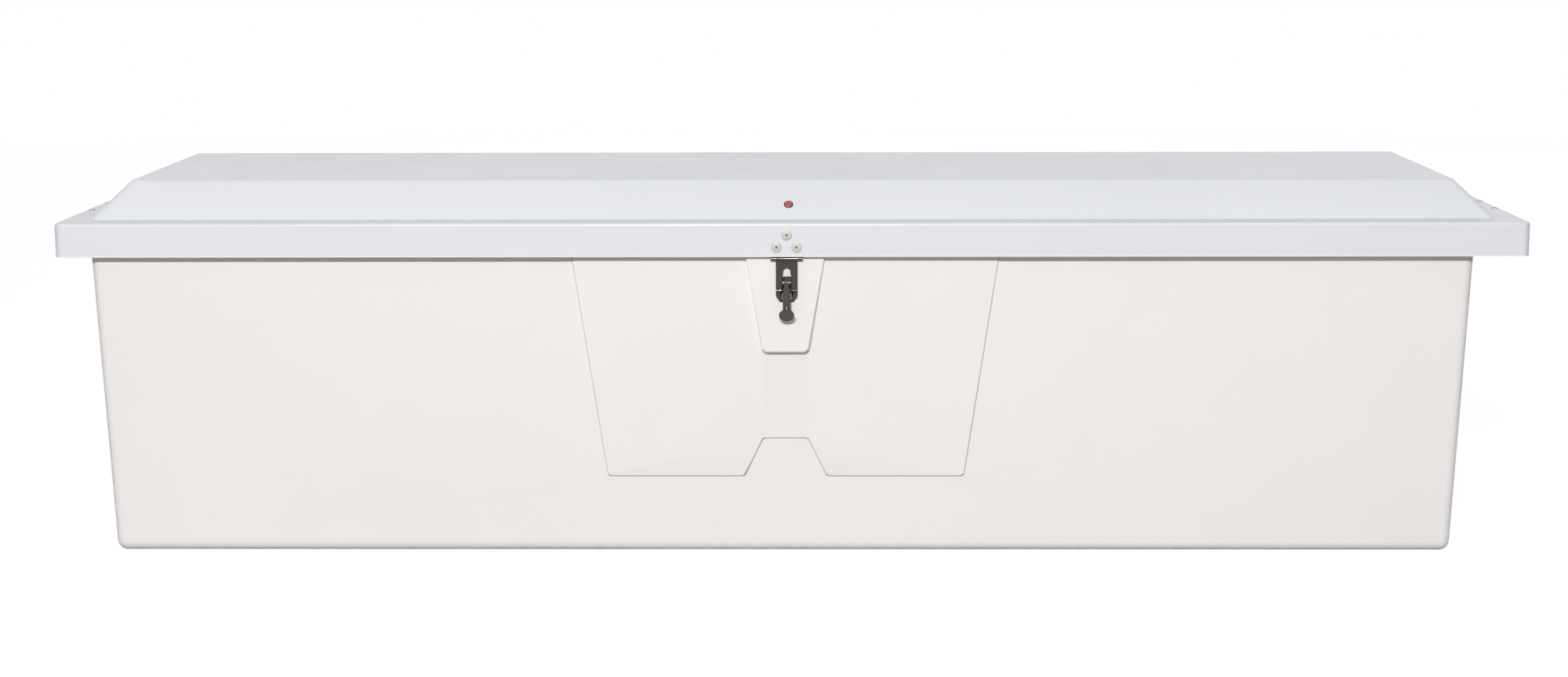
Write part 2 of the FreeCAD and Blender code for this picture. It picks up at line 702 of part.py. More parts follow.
LATCH_BACK = f"({LATCH_Y} - latch_leaf_thickness)"
leaf = new_body("latch_leaf_form")
leaf_plate = outline(leaf, "XZ", [
    ("-latch_leaf_width / 2", f"{LATCH_Z} + plate_gap"),
    ("latch_leaf_width / 2", f"{LATCH_Z} + plate_gap"),
    ("latch_leaf_width / 2", f"{LATCH_Z} + latch_leaf_height"),
    ("-latch_leaf_width / 2", f"{LATCH_Z} + latch_leaf_height"),
], x="latch_offset", z=LATCH_Y)
pad(leaf, leaf_plate, "latch_leaf_thickness", reverse=True)
leaf_knuckles = circle(leaf, "YZ", "latch_knuckle", x=f"-{LATCH_Y}", y=LATCH_Z, z="latch_offset")
pad(leaf, leaf_knuckles, "latch_leaf_width", both=True)
leaf_notch = outline(leaf, "YZ", [
    (f"-{LATCH_Y} - 2 * latch_knuckle", f"{LATCH_Z} - 2 * latch_knuckle"),
    (f"-{LATCH_Y} + 2 * latch_knuckle", f"{LATCH_Z} - 2 * latch_knuckle"),
    (f"-{LATCH_Y} + 2 * latch_knuckle", f"{LATCH_Z} + latch_knuckle + knuckle_gap"),
    (f"-{LATCH_Y} - 2 * latch_knuckle", f"{LATCH_Z} + latch_knuckle + knuckle_gap"),
], z="latch_offset")
pad(leaf, leaf_notch, "strap_width + knuckle_gap", both=True, cut=True)
leaf_bore = circle(leaf, "YZ", "latch_pin_radius + running_gap", x=f"-{LATCH_Y}", y=LATCH_Z, z="latch_offset")
pad(leaf, leaf_bore, "latch_leaf_width + 2", both=True, cut=True)

latch_rivets = []
latch_drills = []
for i, (across, up) in enumerate((("-1", "low"), ("1", "low"), ("0", "high"))):
    place = (f"latch_offset + {across} * latch_rivet_spread / 2", f"-{LID_DEPTH} / 2",
             f"{SKIRT_FOOT} + latch_rivet_{up}")
    latch_rivets.append(rivet(f"latch_rivet_{i}", "latch_rivet_head", "latch_rivet_head_height",
                              "lid_wall + latch_leaf_thickness", *place, "front"))
    latch_drills.append(rivet_hole(f"latch_drill_{i}", *place, "front"))
keep("latch_rivets", group("latch_rivets", latch_rivets))
latch_drill = group("latch_drill", latch_drills)
keep("latch_hinge_leaf", cut("latch_hinge_leaf", leaf, latch_drill))
keep("latch_hinge_pin", cylinder("latch_hinge_pin", "latch_pin_radius", "latch_leaf_width",
                                 "latch_offset - latch_leaf_width / 2", f"-{LATCH_Y}", LATCH_Z, "right"))

STRAP_BACK = f"({PAD_FACE} + strap_gap)"
STRAP_FOOT = f"({LATCH_Z} - strap_length)"
strap = new_body("latch_strap")
fork_right = [
    ("slot_width / 2", f"{LATCH_Z} - slot_top"),
    ("slot_width / 2", f"{LATCH_Z} - fork_top"),
    ("fork_width / 2", f"{LATCH_Z} - fork_top - fork_shoulder"),
    ("fork_width / 2", STRAP_FOOT),
    ("strap_width / 2", STRAP_FOOT),
    ("strap_width / 2", f"{LATCH_Z} - plate_gap"),
]
fork_left = [("-" + x, y) for x, y in reversed(fork_right)]
strap_plate = outline(strap, "XZ", fork_right + fork_left, x="latch_offset", z=STRAP_BACK)
pad(strap, strap_plate, "strap_thickness")
strap_low = strap.Tip.Shape.BoundBox.ZMin
strap_high = strap.Tip.Shape.BoundBox.ZMax


def strap_side(edge):
    box = edge.BoundBox
    reach = SIZES["strap_width"] / 2 - 0.01
    return spans(edge, Y_DIRECTION) and box.ZMax < strap_low + 1 and abs(box.Center.x - SIZES["latch_offset"]) > reach


def slot_roof(edge):
    box = edge.BoundBox
    away = abs(box.Center.x - SIZES["latch_offset"])
    high = strap_high + SIZES["plate_gap"] - SIZES["slot_top"]
    return spans(edge, Y_DIRECTION) and abs(box.ZMax - high) < 0.01 and away < SIZES["slot_width"] / 2 + 0.01


round_edges(strap, "strap_end_round", strap_side)
round_edges(strap, "0.47 * slot_width", slot_roof)
beads = circle(strap, "YZ", "bead_radius", x=f"-{STRAP_BACK} - strap_thickness",
               y=f"{STRAP_FOOT} + bead_height", z="latch_offset")
pad(strap, beads, "strap_width - 2 * bead_end", both=True)
STRAP_MIDDLE = f"({STRAP_BACK} + strap_thickness / 2)"
fork_gap = outline(strap, "XZ", [
    ("-fork_width / 2", f"{STRAP_FOOT} - 1"),
    ("fork_width / 2", f"{STRAP_FOOT} - 1"),
    ("fork_width / 2", f"{LATCH_Z} - fork_top - fork_shoulder"),
    ("-fork_width / 2", f"{LATCH_Z} - fork_top - fork_shoulder"),
], x="latch_offset", z=STRAP_MIDDLE)
pad(strap, fork_gap, "4 * bead_radius + 2 * strap_thickness", both=True, cut=True)
strap_knuckle = circle(strap, "YZ", "latch_knuckle", x=f"-{LATCH_Y}", y=LATCH_Z, z="latch_offset")
pad(strap, strap_knuckle, "strap_width", both=True)
strap_bore = circle(strap, "YZ", "latch_pin_radius + running_gap", x=f"-{LATCH_Y}", y=LATCH_Z, z="latch_offset")
pad(strap, strap_bore, "strap_width + 2", both=True, cut=True)
keep("latch_strap", strap)

# Keeper: a plate bolted to the pad, with two ears that reach through the strap's fork

KEEPER_FOOT = f"({LATCH_Z} - keeper_foot)"
keeper = new_body("keeper_form")
keeper_plate = outline(keeper, "XZ", [
    ("-keeper_width / 2", KEEPER_FOOT),
    ("keeper_width / 2", KEEPER_FOOT),
    ("keeper_width / 2", f"{KEEPER_FOOT} + keeper_height"),
    ("-keeper_width / 2", f"{KEEPER_FOOT} + keeper_height"),
], x="latch_offset", z=PAD_FACE)
pad(keeper, keeper_plate, "keeper_thickness")
round_edges(keeper, "keeper_width / 6", lambda edge: spans(edge, Y_DIRECTION))
ear = outline(keeper, "YZ", [
    (f"-{PAD_FACE} - keeper_thickness / 2", f"{LEVER_Z} - ear_radius"),
    (f"-{PAD_FACE} - keeper_thickness / 2", f"{LEVER_Z} + ear_radius"),
    (f"-{LEVER_Y}", f"{LEVER_Z} + ear_radius"),
    (f"-{LEVER_Y}", f"{LEVER_Z} - ear_radius"),
], z="latch_offset")
pad(keeper, ear, "ear_gap + 2 * ear_thickness", both=True)
ear_end = circle(keeper, "YZ", "ear_radius", x=f"-{LEVER_Y}", y=LEVER_Z, z="latch_offset")
pad(keeper, ear_end, "ear_gap + 2 * ear_thickness", both=True)
ear_space = outline(keeper, "YZ", [
    (f"-{PAD_FACE} - keeper_thickness", f"{LEVER_Z} - 3 * ear_radius"),
    (f"-{PAD_FACE} - keeper_thickness", f"{LEVER_Z} + 3 * ear_radius"),
    (f"-{LEVER_Y} - 3 * ear_radius", f"{LEVER_Z} + 3 * ear_radius"),
    (f"-{LEVER_Y} - 3 * ear_radius", f"{LEVER_Z} - 3 * ear_radius"),
], z="latch_offset")
pad(keeper, ear_space, "ear_gap", both=True, cut=True)
ear_bore = circle(keeper, "YZ", "lever_pin_radius + running_gap", x=f"-{LEVER_Y}", y=LEVER_Z, z="latch_offset")
pad(keeper, ear_bore, "2 * ear_gap", both=True, cut=True)
keep("lever_pin", cylinder("lever_pin", "lever_pin_radius", "ear_gap + 2 * ear_thickness",
                           "latch_offset - ear_gap / 2 - ear_thickness", f"-{LEVER_Y}", LEVER_Z, "right"))

BOLT_Z = f"({KEEPER_FOOT} + keeper_bolt_foot)"
BOLT_FACE = f"(-{PAD_FACE} - keeper_thickness)"
INNER_FACE = f"(tub_wall - base_depth / 2 - ({BOLT_Z} - keeper_washer) * {WALL_SLOPE})"
BOLT_GRIP = f"({INNER_FACE} - {BOLT_FACE})"
bolts = []
nuts = []
bolt_holes = []
sinks = []
for side, sign in (("left", "-"), ("right", "+")):
    across = f"latch_offset {sign} keeper_bolt_spread / 2"
    tail = "keeper_nut_height + keeper_washer_height + keeper_bolt_tail"
    head = cone(f"bolt_head_{side}", "keeper_bolt_radius", "keeper_bolt_head", "keeper_thickness",
                across, f"{BOLT_FACE} + keeper_thickness", BOLT_Z, "front")
    shank = cylinder(f"bolt_shank_{side}", "keeper_bolt_radius", f"{BOLT_GRIP} - keeper_thickness + {tail}",
                     across, f"{BOLT_FACE} + keeper_thickness", BOLT_Z, "back")
    bolts.append(fuse(f"bolt_{side}", head, shank))
    bolt_holes.append(cylinder(f"bolt_hole_{side}", "keeper_bolt_radius + hole_gap", "2 * " + BOLT_GRIP,
                               across, f"{BOLT_FACE} - keeper_thickness", BOLT_Z, "back"))
    sinks.append(cone(f"bolt_sink_{side}", "keeper_bolt_radius + hole_gap", "keeper_bolt_head + hole_gap",
                      "keeper_thickness", across, f"{BOLT_FACE} + keeper_thickness", BOLT_Z, "front"))
    washer = cylinder(f"washer_{side}", "keeper_washer", "keeper_washer_height", across, INNER_FACE, BOLT_Z, "back")
    nut = doc.addObject("Part::Prism", f"nut_{side}")
    nut.Polygon = 6
    bind(nut, Circumradius="keeper_nut", Height="keeper_nut_height")
    set_place(nut, across, f"{INNER_FACE} + keeper_washer_height", BOLT_Z, "back")
    threaded = cylinder(f"nut_bore_{side}", "keeper_bolt_radius + hole_gap", "2 * keeper_nut_height",
                        across, INNER_FACE, BOLT_Z, "back")
    nuts.append(cut(f"nut_and_washer_{side}", fuse(f"nut_blank_{side}", washer, nut), threaded))
keep("keeper_bolts", group("keeper_bolts", bolts))
keep("keeper_nuts", group("keeper_nuts", nuts))
keeper_drill = group("keeper_drill", bolt_holes)
keep("latch_keeper", cut("latch_keeper", keeper, fuse("keeper_holes", *(bolt_holes + sinks))))

# Cam lever: a hub between the ears and a round shank that bends out into a flared end

lever = new_body("latch_lever")
hub = circle(lever, "YZ", "lever_hub", x=f"-{LEVER_Y}", y=LEVER_Z, z="latch_offset")
pad(lever, hub, "lever_hub_width", both=True)
neck = outline(lever, "YZ", [
    (f"-{LEVER_Y} - lever_neck_half", LEVER_Z),
    (f"-{LEVER_Y} + lever_neck_half", LEVER_Z),
    (f"-{LEVER_Y} + lever_neck_half", f"{LEVER_Z} - lever_neck - lever_hub / 2"),
    (f"-{LEVER_Y} - lever_neck_half", f"{LEVER_Z} - lever_neck - lever_hub / 2"),
], z="latch_offset")
pad(lever, neck, "lever_hub_width", both=True)

# The spine is drawn roughly to start with, then measured
BEND_IN = "-lever_bend_radius * (1 - cos(lever_bend))"
BEND_DOWN = "-lever_straight - lever_bend_radius * sin(lever_bend)"
spine = new_sketch(lever, "YZ", x=f"-{LEVER_Y}", y=LEVER_Z, z="latch_offset")
bend_centre = FreeCAD.Vector(-10, -37, 0)
spine.addGeometry(Part.LineSegment(FreeCAD.Vector(0, -8, 0), FreeCAD.Vector(0, -37, 0)), False)
spine.addGeometry(Part.ArcOfCircle(Part.Circle(bend_centre, Z_DIRECTION, 10), -0.96, 0), False)
spine.addConstraint(Sketcher.Constraint("Tangent", 0, 2, 1, 2))
spine.addConstraint(Sketcher.Constraint("Vertical", 0))
place_point(spine, 0, 1, "0", "-lever_neck")
measure(spine, "lever_straight - lever_neck", "Distance", 0, 29.0)
measure(spine, "lever_bend_radius", "Radius", 1, 10.0)
measure(spine, BEND_DOWN, "DistanceY", -1, 1, 1, 1, -45.0)
ring = circle(lever, "XY", "lever_shank", x="latch_offset", y=f"-{LEVER_Y}", z=f"{LEVER_Z} - lever_neck")
shank = lever.newObject("PartDesign::AdditivePipe", "lever_shank")
shank.Profile = ring
shank.Spine = spine
doc.recompute()
flare = outline(lever, "YZ", [
    ("-1", "0"),
    ("-1", "lever_shank - 0.8"),
    ("0.5", "lever_shank"),
    ("lever_flare_length * 0.55", "lever_shank + 1.6"),
    ("lever_flare_length * 0.85", "lever_flare - 1"),
    ("lever_flare_length", "lever_flare"),
    ("lever_flare_length + 1.6", "lever_flare - 0.3"),
    ("lever_flare_length + 0.6", "lever_flare - 2.4"),
    ("lever_flare_length", "0"),
], x=f"-{LEVER_Y} + {BEND_IN}", y=f"{LEVER_Z} + {BEND_DOWN}", z="latch_offset",
    turn="270 - lever_bend", turn_axis=Z_DIRECTION)
revolve(lever, flare)
lever_bore = circle(lever, "YZ", "lever_pin_radius + running_gap", x=f"-{LEVER_Y}", y=LEVER_Z, z="latch_offset")
pad(lever, lever_bore, "2 * lever_hub_width", both=True, cut=True)
keep("latch_lever", lever)

# Badge: a plain domed disc on the front slope

badge = cone("lid_badge", "badge_radius", "0.7 * badge_radius", "badge_height", "badge_offset",
             f"-{LID_DEPTH} / 2 + flange_width + badge_rise * (crown_inset - flange_width) / crown_height",
             f"{FLANGE_TOP} + badge_rise", "front")
bind(badge, Placement__Rotation__Angle="atan2(crown_height; crown_inset - flange_width)")
keep("lid_badge", badge)

# Gas struts: a rod on a stud of the tub's end wall, and a tube that slides on it up to the lid

END_FACE = f"(base_length / 2 + {STRUT_FOOT_Z} * {WALL_SLOPE})"
EYE_OUTER = f"({STRUT_X} + strut_eye_width / 2)"
TAB_FROM_MIDDLE = f"({LID_LENGTH} / 2 - lid_wall - head_leaf_width)"
FLANGE_FLOOR = f"({FLANGE_TOP} - lid_wall)"
ROD_START = "strut_end"
ROD_END = f"({OPEN_LENGTH} - strut_end - strut_tube_length + strut_overlap)"
TUBE_START = f"({STRUT_LENGTH} - strut_end - strut_tube_length)"
head_rivets = []
foot_rivets = []
end_drills = []
flange_drills = []


def lean_back(thing, side):
    """Stand a strut piece, made upright about its foot stud, at its place on one end of the box."""
    thing.Placement = FreeCAD.Placement(FreeCAD.Vector(), FreeCAD.Rotation(X_DIRECTION, 10))
    bind(thing, Placement__Base__x=side + STRUT_X, Placement__Base__y=STRUT_FOOT_Y,
         Placement__Base__z=STRUT_FOOT_Z, Placement__Rotation__Angle=STRUT_LEAN)
    return thing


def strut_eye(name, at, grows):
    """A flat-sided eye with a round shank that takes the rod or the tube."""
    ring = cylinder(name + "_ring", "strut_eye_radius", "strut_eye_width",
                    "-strut_eye_width / 2", "0", at, "right")
    start = at if grows else f"{at} - strut_end"
    stem = cylinder(name + "_stem", "strut_eye_width / 2 - strut_side_gap", "strut_end", "0", "0", start)
    hole = cylinder(name + "_hole", "strut_stud_radius + running_gap", "2 * strut_eye_width",
                    "-strut_eye_width", "0", at, "right")
    return cut(name + "_form", fuse(name + "_blank", ring, stem), hole)


for side, sign, outward, inward in (("left", "-", "left", "right"), ("right", "", "right", "left")):
    rod = cylinder(f"rod_{side}", "strut_rod_radius", f"{ROD_END} - {ROD_START}", "0", "0", ROD_START)
    piston = cylinder(f"piston_{side}", "strut_tube_radius - strut_tube_wall - hole_gap", "strut_piston_length",
                      "0", "0", f"{ROD_END} - strut_piston_length")
    keep(f"strut_rod_{side}", lean_back(fuse(f"strut_rod_{side}", rod, piston), sign))
    keep(f"strut_foot_eye_{side}", lean_back(strut_eye(f"strut_foot_eye_{side}", "0", True), sign))
    keep(f"strut_head_eye_{side}", lean_back(strut_eye(f"strut_head_eye_{side}", STRUT_LENGTH, False), sign))

    tube = new_body(f"strut_tube_{side}")
    wall = [
        ("strut_rod_radius + running_gap", TUBE_START),
        ("strut_tube_radius - strut_tube_chamfer / 3", TUBE_START),
        ("strut_tube_radius", f"{TUBE_START} + strut_tube_chamfer"),
        ("strut_tube_radius", f"{TUBE_START} + strut_tube_length - strut_tube_chamfer"),
        ("strut_tube_radius - strut_tube_chamfer / 1.5", f"{TUBE_START} + strut_tube_length"),
        ("0", f"{TUBE_START} + strut_tube_length"),
        ("0", f"{TUBE_START} + strut_tube_length - strut_tube_end"),
        ("strut_tube_radius - strut_tube_wall", f"{TUBE_START} + strut_tube_length - strut_tube_end"),
        ("strut_tube_radius - strut_tube_wall", f"{TUBE_START} + strut_tube_gland"),
        ("strut_rod_radius + running_gap", f"{TUBE_START} + strut_tube_gland"),
    ]
    revolve(tube, outline(tube, "XZ", wall), "V_Axis")
    keep(f"strut_tube_{side}", lean_back(tube, sign))

    # Foot bracket: a plate that leans with the end wall, and a level stud with a head
    foot = new_body(f"foot_plate_{side}")
    low = f"({STRUT_FOOT_Z} - foot_plate_height / 2)"
    high = f"({STRUT_FOOT_Z} + foot_plate_height / 2)"
    face = f"base_length / 2 + {{}} * {WALL_SLOPE}"
    plate = outline(foot, "XZ", [
        (f"{sign}({face.format(low)})", low),
        (f"{sign}({face.format(low)} + strut_plate)", low),
        (f"{sign}({face.format(high)} + strut_plate)", high),
        (f"{sign}({face.format(high)})", high),
    ], z=f"-{STRUT_FOOT_Y}")
    pad(foot, plate, "foot_plate_depth", both=True)
    stud_start = f"{sign}({END_FACE} + strut_plate / 2)"
    collar = cylinder(f"foot_collar_{side}", "strut_collar",
                      f"{STRUT_X} - strut_eye_width / 2 - strut_side_gap - {END_FACE} - strut_plate / 2",
                      stud_start, STRUT_FOOT_Y, STRUT_FOOT_Z, outward)
    stud = cylinder(f"foot_stud_{side}", "strut_stud_radius",
                    f"{EYE_OUTER} + strut_side_gap - {END_FACE} - strut_plate / 2",
                    stud_start, STRUT_FOOT_Y, STRUT_FOOT_Z, outward)
    cap = cone(f"foot_cap_{side}", "strut_cap", "0.85 * strut_cap", "strut_cap_height",
               f"{sign}({EYE_OUTER} + strut_side_gap)", STRUT_FOOT_Y, STRUT_FOOT_Z, outward)
    bracket = fuse(f"foot_bracket_{side}", foot, collar, stud, cap)
    drills = []
    for corner, (back, up) in enumerate((("-", "-"), ("-", "+"), ("+", "-"), ("+", "+"))):
        at_y = f"{STRUT_FOOT_Y} {back} foot_rivet_spread / 2"
        at_z = f"({STRUT_FOOT_Z} {up} foot_rivet_spread / 2)"
        seat = f"{sign}(base_length / 2 + {at_z} * {WALL_SLOPE} + strut_plate)"
        name = f"foot_rivet_{side}_{corner}"
        foot_rivets.append(rivet(name, "rivet_head", "rivet_head_height", "strut_plate + tub_wall",
                                 seat, at_y, at_z, outward, "draft_angle"))
        drills.append(rivet_hole(name + "_drill", seat, at_y, at_z, outward, "draft_angle"))
    end_drills.extend(drills)
    keep(f"strut_foot_bracket_{side}", cut(f"strut_foot_bracket_{side}", bracket,
                                           group(f"foot_drill_{side}", drills)))

    # Head bracket: an angle under the lid's end flange, with a tab and a stud beside the eye
    tab_face = f"lid_shift {sign or '+'} {TAB_FROM_MIDDLE}"
    head = new_body(f"head_plate_{side}")
    tab = outline(head, "YZ", [
        (f"{STRUT_HEAD_Y} - head_leaf_length / 2", FLANGE_FLOOR),
        (f"{STRUT_HEAD_Y} - head_leaf_length / 2", f"{FLANGE_FLOOR} - 2 * strut_plate"),
        (f"{STRUT_HEAD_Y} - head_tab_half", f"{STRUT_HEAD_Z} - head_tab_drop / 2"),
        (f"{STRUT_HEAD_Y} - head_tab_half / 2", f"{STRUT_HEAD_Z} - head_tab_drop"),
        (f"{STRUT_HEAD_Y} + head_tab_half / 2", f"{STRUT_HEAD_Z} - head_tab_drop"),
        (f"{STRUT_HEAD_Y} + head_tab_half", f"{STRUT_HEAD_Z} - head_tab_drop / 2"),
        (f"{STRUT_HEAD_Y} + head_leaf_length / 2", f"{FLANGE_FLOOR} - 2 * strut_plate"),
        (f"{STRUT_HEAD_Y} + head_leaf_length / 2", FLANGE_FLOOR),
    ], z=tab_face)
    pad(head, tab, "strut_plate", reverse=sign == "-")
    leaf_x = f"{tab_face} - head_leaf_width" if sign == "-" else tab_face
    strip = box(f"head_leaf_{side}", "head_leaf_width - head_leaf_gap", "head_leaf_length", "strut_plate",
                f"{leaf_x} + head_leaf_gap" if sign == "-" else leaf_x,
                f"{STRUT_HEAD_Y} - head_leaf_length / 2", f"{FLANGE_FLOOR} - strut_plate")
    reach = f"({TAB_FROM_MIDDLE} {sign or '+'} lid_shift - {EYE_OUTER} - strut_side_gap)"
    stud = cylinder(f"head_stud_{side}", "strut_stud_radius + 1", f"{reach} + strut_plate / 2",
                    f"{tab_face} {sign or '+'} strut_plate / 2", STRUT_HEAD_Y, STRUT_HEAD_Z, inward)
    angle = fuse(f"head_bracket_{side}", head, strip, stud)
    drills = []
    for back in ("-", "+"):
        at_x = f"{tab_face} {sign or '+'} (head_leaf_width + strut_plate) / 2"
        at_y = f"{STRUT_HEAD_Y} {back} head_rivet_spread / 2"
        name = f"head_rivet_{side}_{'front' if back == '-' else 'rear'}"
        head_rivets.append(rivet(name, "rivet_head", "rivet_head_height", "lid_wall + strut_plate",
                                 at_x, at_y, FLANGE_TOP, "up"))
        drills.append(rivet_hole(name + "_drill", at_x, at_y, FLANGE_TOP, "up"))
    flange_drills.extend(drills)
    keep(f"strut_head_bracket_{side}", cut(f"strut_head_bracket_{side}", angle,
                                           group(f"head_drill_{side}", drills)))

keep("strut_foot_rivets", group("strut_foot_rivets", foot_rivets))
keep("strut_head_rivets", group("strut_head_rivets", head_rivets))

# The two mouldings, with every fixing hole drilled
tub_drill = fuse("tub_drill", tub_hinge_drill, keeper_drill, group("end_drill", end_drills))
lid_drill = fuse("lid_drill", lid_hinge_drill, latch_drill, group("flange_drill", flange_drills))
keep("tub_shell", cut("tub_shell", tub, tub_drill))
keep("lid_shell", cut("lid_shell", lid, lid_drill))

doc.recompute()

broken = [thing.Name for thing in doc.Objects if "Invalid" in thing.State or "Error" in thing.State]
if broken:
    raise RuntimeError(f"These features failed: {broken}")
for name, thing in nodes.items():
    if thing.Shape.isNull() or not thing.Shape.isValid() or not thing.Shape.Solids:
        raise RuntimeError(f"{name} has no valid solid")

os.makedirs("parts", exist_ok=True)
for name, thing in nodes.items():
    thing.Shape.exportStep(f"parts/{name}.step")
    box = thing.Shape.BoundBox
    print(f"{name}: {len(thing.Shape.Solids)} solid(s), {thing.Shape.Volume:.0f} mm3,"
          f" x {box.XMin:.1f}..{box.XMax:.1f} y {box.YMin:.1f}..{box.YMax:.1f} z {box.ZMin:.1f}..{box.ZMax:.1f}")
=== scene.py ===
import math

import bmesh
import bpy
from mathutils import Matrix, Vector


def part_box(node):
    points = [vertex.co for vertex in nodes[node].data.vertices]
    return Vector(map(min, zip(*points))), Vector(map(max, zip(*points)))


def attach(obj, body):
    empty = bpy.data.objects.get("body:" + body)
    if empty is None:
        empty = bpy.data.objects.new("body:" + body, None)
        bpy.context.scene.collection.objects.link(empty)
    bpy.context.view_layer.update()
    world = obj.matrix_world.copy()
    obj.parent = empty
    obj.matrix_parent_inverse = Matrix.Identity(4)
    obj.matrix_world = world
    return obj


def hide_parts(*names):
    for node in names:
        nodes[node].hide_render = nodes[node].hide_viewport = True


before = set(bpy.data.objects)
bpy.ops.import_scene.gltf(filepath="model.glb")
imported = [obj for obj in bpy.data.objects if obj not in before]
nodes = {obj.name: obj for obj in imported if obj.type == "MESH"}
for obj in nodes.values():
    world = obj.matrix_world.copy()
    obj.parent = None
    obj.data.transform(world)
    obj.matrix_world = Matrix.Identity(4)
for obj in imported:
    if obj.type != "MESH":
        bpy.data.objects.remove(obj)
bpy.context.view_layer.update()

MM = 0.001
WALL_DRAFT = math.radians(2.1)
SMOOTH_ANGLE = math.radians(32)


# Meshes

def link(name, mesh):
    piece = bpy.data.objects.new(name, mesh)
    bpy.context.scene.collection.objects.link(piece)
    return piece


def smooth(mesh, angle=SMOOTH_ANGLE):
    """Shade smooth, with the edges sharper than the angle kept crisp."""
    mesh.polygons.foreach_set("use_smooth", [True] * len(mesh.polygons))
    mesh.set_sharp_from_angle(angle=angle)


def applied(piece):
    """The plain mesh that a piece's modifiers make; the piece itself goes."""
    bpy.context.view_layer.update()
    evaluated = piece.evaluated_get(bpy.context.evaluated_depsgraph_get())
    mesh = bpy.data.meshes.new_from_object(evaluated)
    name = piece.name
    bpy.data.objects.remove(piece)
    mesh.name = name
    return link(name, mesh)


def merged_copy(name, node):
    """A piece that stands for a CAD node, its triangles joined: flat faces flat, roundings smooth."""
    mesh = nodes[node].data.copy()
    mesh.name = name
    form = bmesh.new()
    form.from_mesh(mesh)
    bmesh.ops.remove_doubles(form, verts=form.verts, dist=0.002 * MM)
    form.to_mesh(mesh)
    form.free()
    smooth(mesh)
    piece = link(name, mesh)
    modifier = piece.modifiers.new("area_weighted_normals", "WEIGHTED_NORMAL")
    modifier.mode = "FACE_AREA"
    modifier.keep_sharp = True
    return applied(piece)


def mesh_from(name, form):
    bmesh.ops.recalc_face_normals(form, faces=form.faces)
    mesh = bpy.data.meshes.new(name)
    form.to_mesh(mesh)
    form.free()
    smooth(mesh)
    return mesh


def lathe(name, profile, steps=28):
    """A closed solid of revolution about Z through (radius, height) points."""
    form = bmesh.new()
    line = [form.verts.new((radius * MM, 0, height * MM)) for radius, height in profile]
    edges = [form.edges.new(pair) for pair in zip(line, line[1:])]
    bmesh.ops.spin(form, geom=line + edges, cent=(0, 0, 0), axis=(0, 0, 1), angle=math.tau, steps=steps)
    bmesh.ops.remove_doubles(form, verts=form.verts, dist=0.01 * MM)
    return mesh_from(name, form)


def prism(form, outline, start, end, axes="yz"):
    """A closed bar: an outline across two axes, run along the third."""
    along = ({"x", "y", "z"} - set(axes)).pop()
    rings = []
    for place_along in (start, end):
        ring = []
        for first, second in outline:
            point = Vector()
            setattr(point, axes[0], first * MM)
            setattr(point, axes[1], second * MM)
            setattr(point, along, place_along * MM)
            ring.append(form.verts.new(point))
        rings.append(ring)
    count = len(outline)
    for i in range(count):
        j = (i + 1) % count
        form.faces.new((rings[0][i], rings[0][j], rings[1][j], rings[1][i]))
    form.faces.new(rings[0][::-1])
    form.faces.new(rings[1])


def arc(centre, radius, start, end, steps):
    """Points along an arc, by angles in degrees."""
    turns = (math.radians(start + (end - start) * i / steps) for i in range(steps + 1))
    return [(centre[0] + radius * math.cos(a), centre[1] + radius * math.sin(a)) for a in turns]


def solids_of(node):
    """The separate solids of a CAD node, each as a list of its points."""
    form = bmesh.new()
    form.from_mesh(nodes[node].data)
    bmesh.ops.remove_doubles(form, verts=form.verts, dist=0.002 * MM)
    left = set(form.verts)
    groups = []
    while left:
        front = [left.pop()]
        group = []
        while front:
            vertex = front.pop()
            group.append(vertex.co.copy())
            for edge in vertex.link_edges:
                other = edge.other_vert(vertex)
                if other in left:
                    left.remove(other)
                    front.append(other)
        groups.append(group)
    form.free()
    return sorted(groups, key=lambda group: tuple(group[0]))


def far_centre(points, direction):
    """The middle of the points that reach furthest in a direction."""
    reach = max(point.dot(direction) for point in points)
    furthest = [point for point in points if reach - point.dot(direction) < 0.05 * MM]
    low = Vector(min(point[axis] for point in furthest) for axis in range(3))
    high = Vector(max(point[axis] for point in furthest) for axis in range(3))
    return (low + high) / 2


# Materials

def shader_of(name, color, **sockets):
    """A new material: its Principled shader with constant sockets, and its node tree."""
    material = bpy.data.materials.new(name)
    material.use_nodes = True
    shader = material.node_tree.nodes["Principled BSDF"]
    shader.inputs["Base Color"].default_value = (*color, 1)
    for socket, value in sockets.items():
        shader.inputs[socket.replace("_", " ")].default_value = value
    return material, shader, material.node_tree


def add(tree, kind, **inputs):
    """A node, with inputs that are either values or other sockets."""
    node = tree.nodes.new(kind)
    for name, value in inputs.items():
        socket = node.inputs[name.replace("_", " ")]
        if isinstance(value, bpy.types.NodeSocket):
            tree.links.new(value, socket)
        else:
            socket.default_value = value
    return node


def place(tree):
    return tree.nodes.new("ShaderNodeTexCoord").outputs["Object"]


def stretched(tree, scale):
    """Object coordinates scaled by a different amount along each axis."""
    mapping = add(tree, "ShaderNodeMapping", Vector=place(tree), Scale=scale)
    return mapping.outputs["Vector"]


def noise(tree, vector, scale, detail=3.0, roughness=0.55):
    return add(tree, "ShaderNodeTexNoise", Vector=vector, Scale=scale, Detail=detail,
               Roughness=roughness).outputs["Fac"]


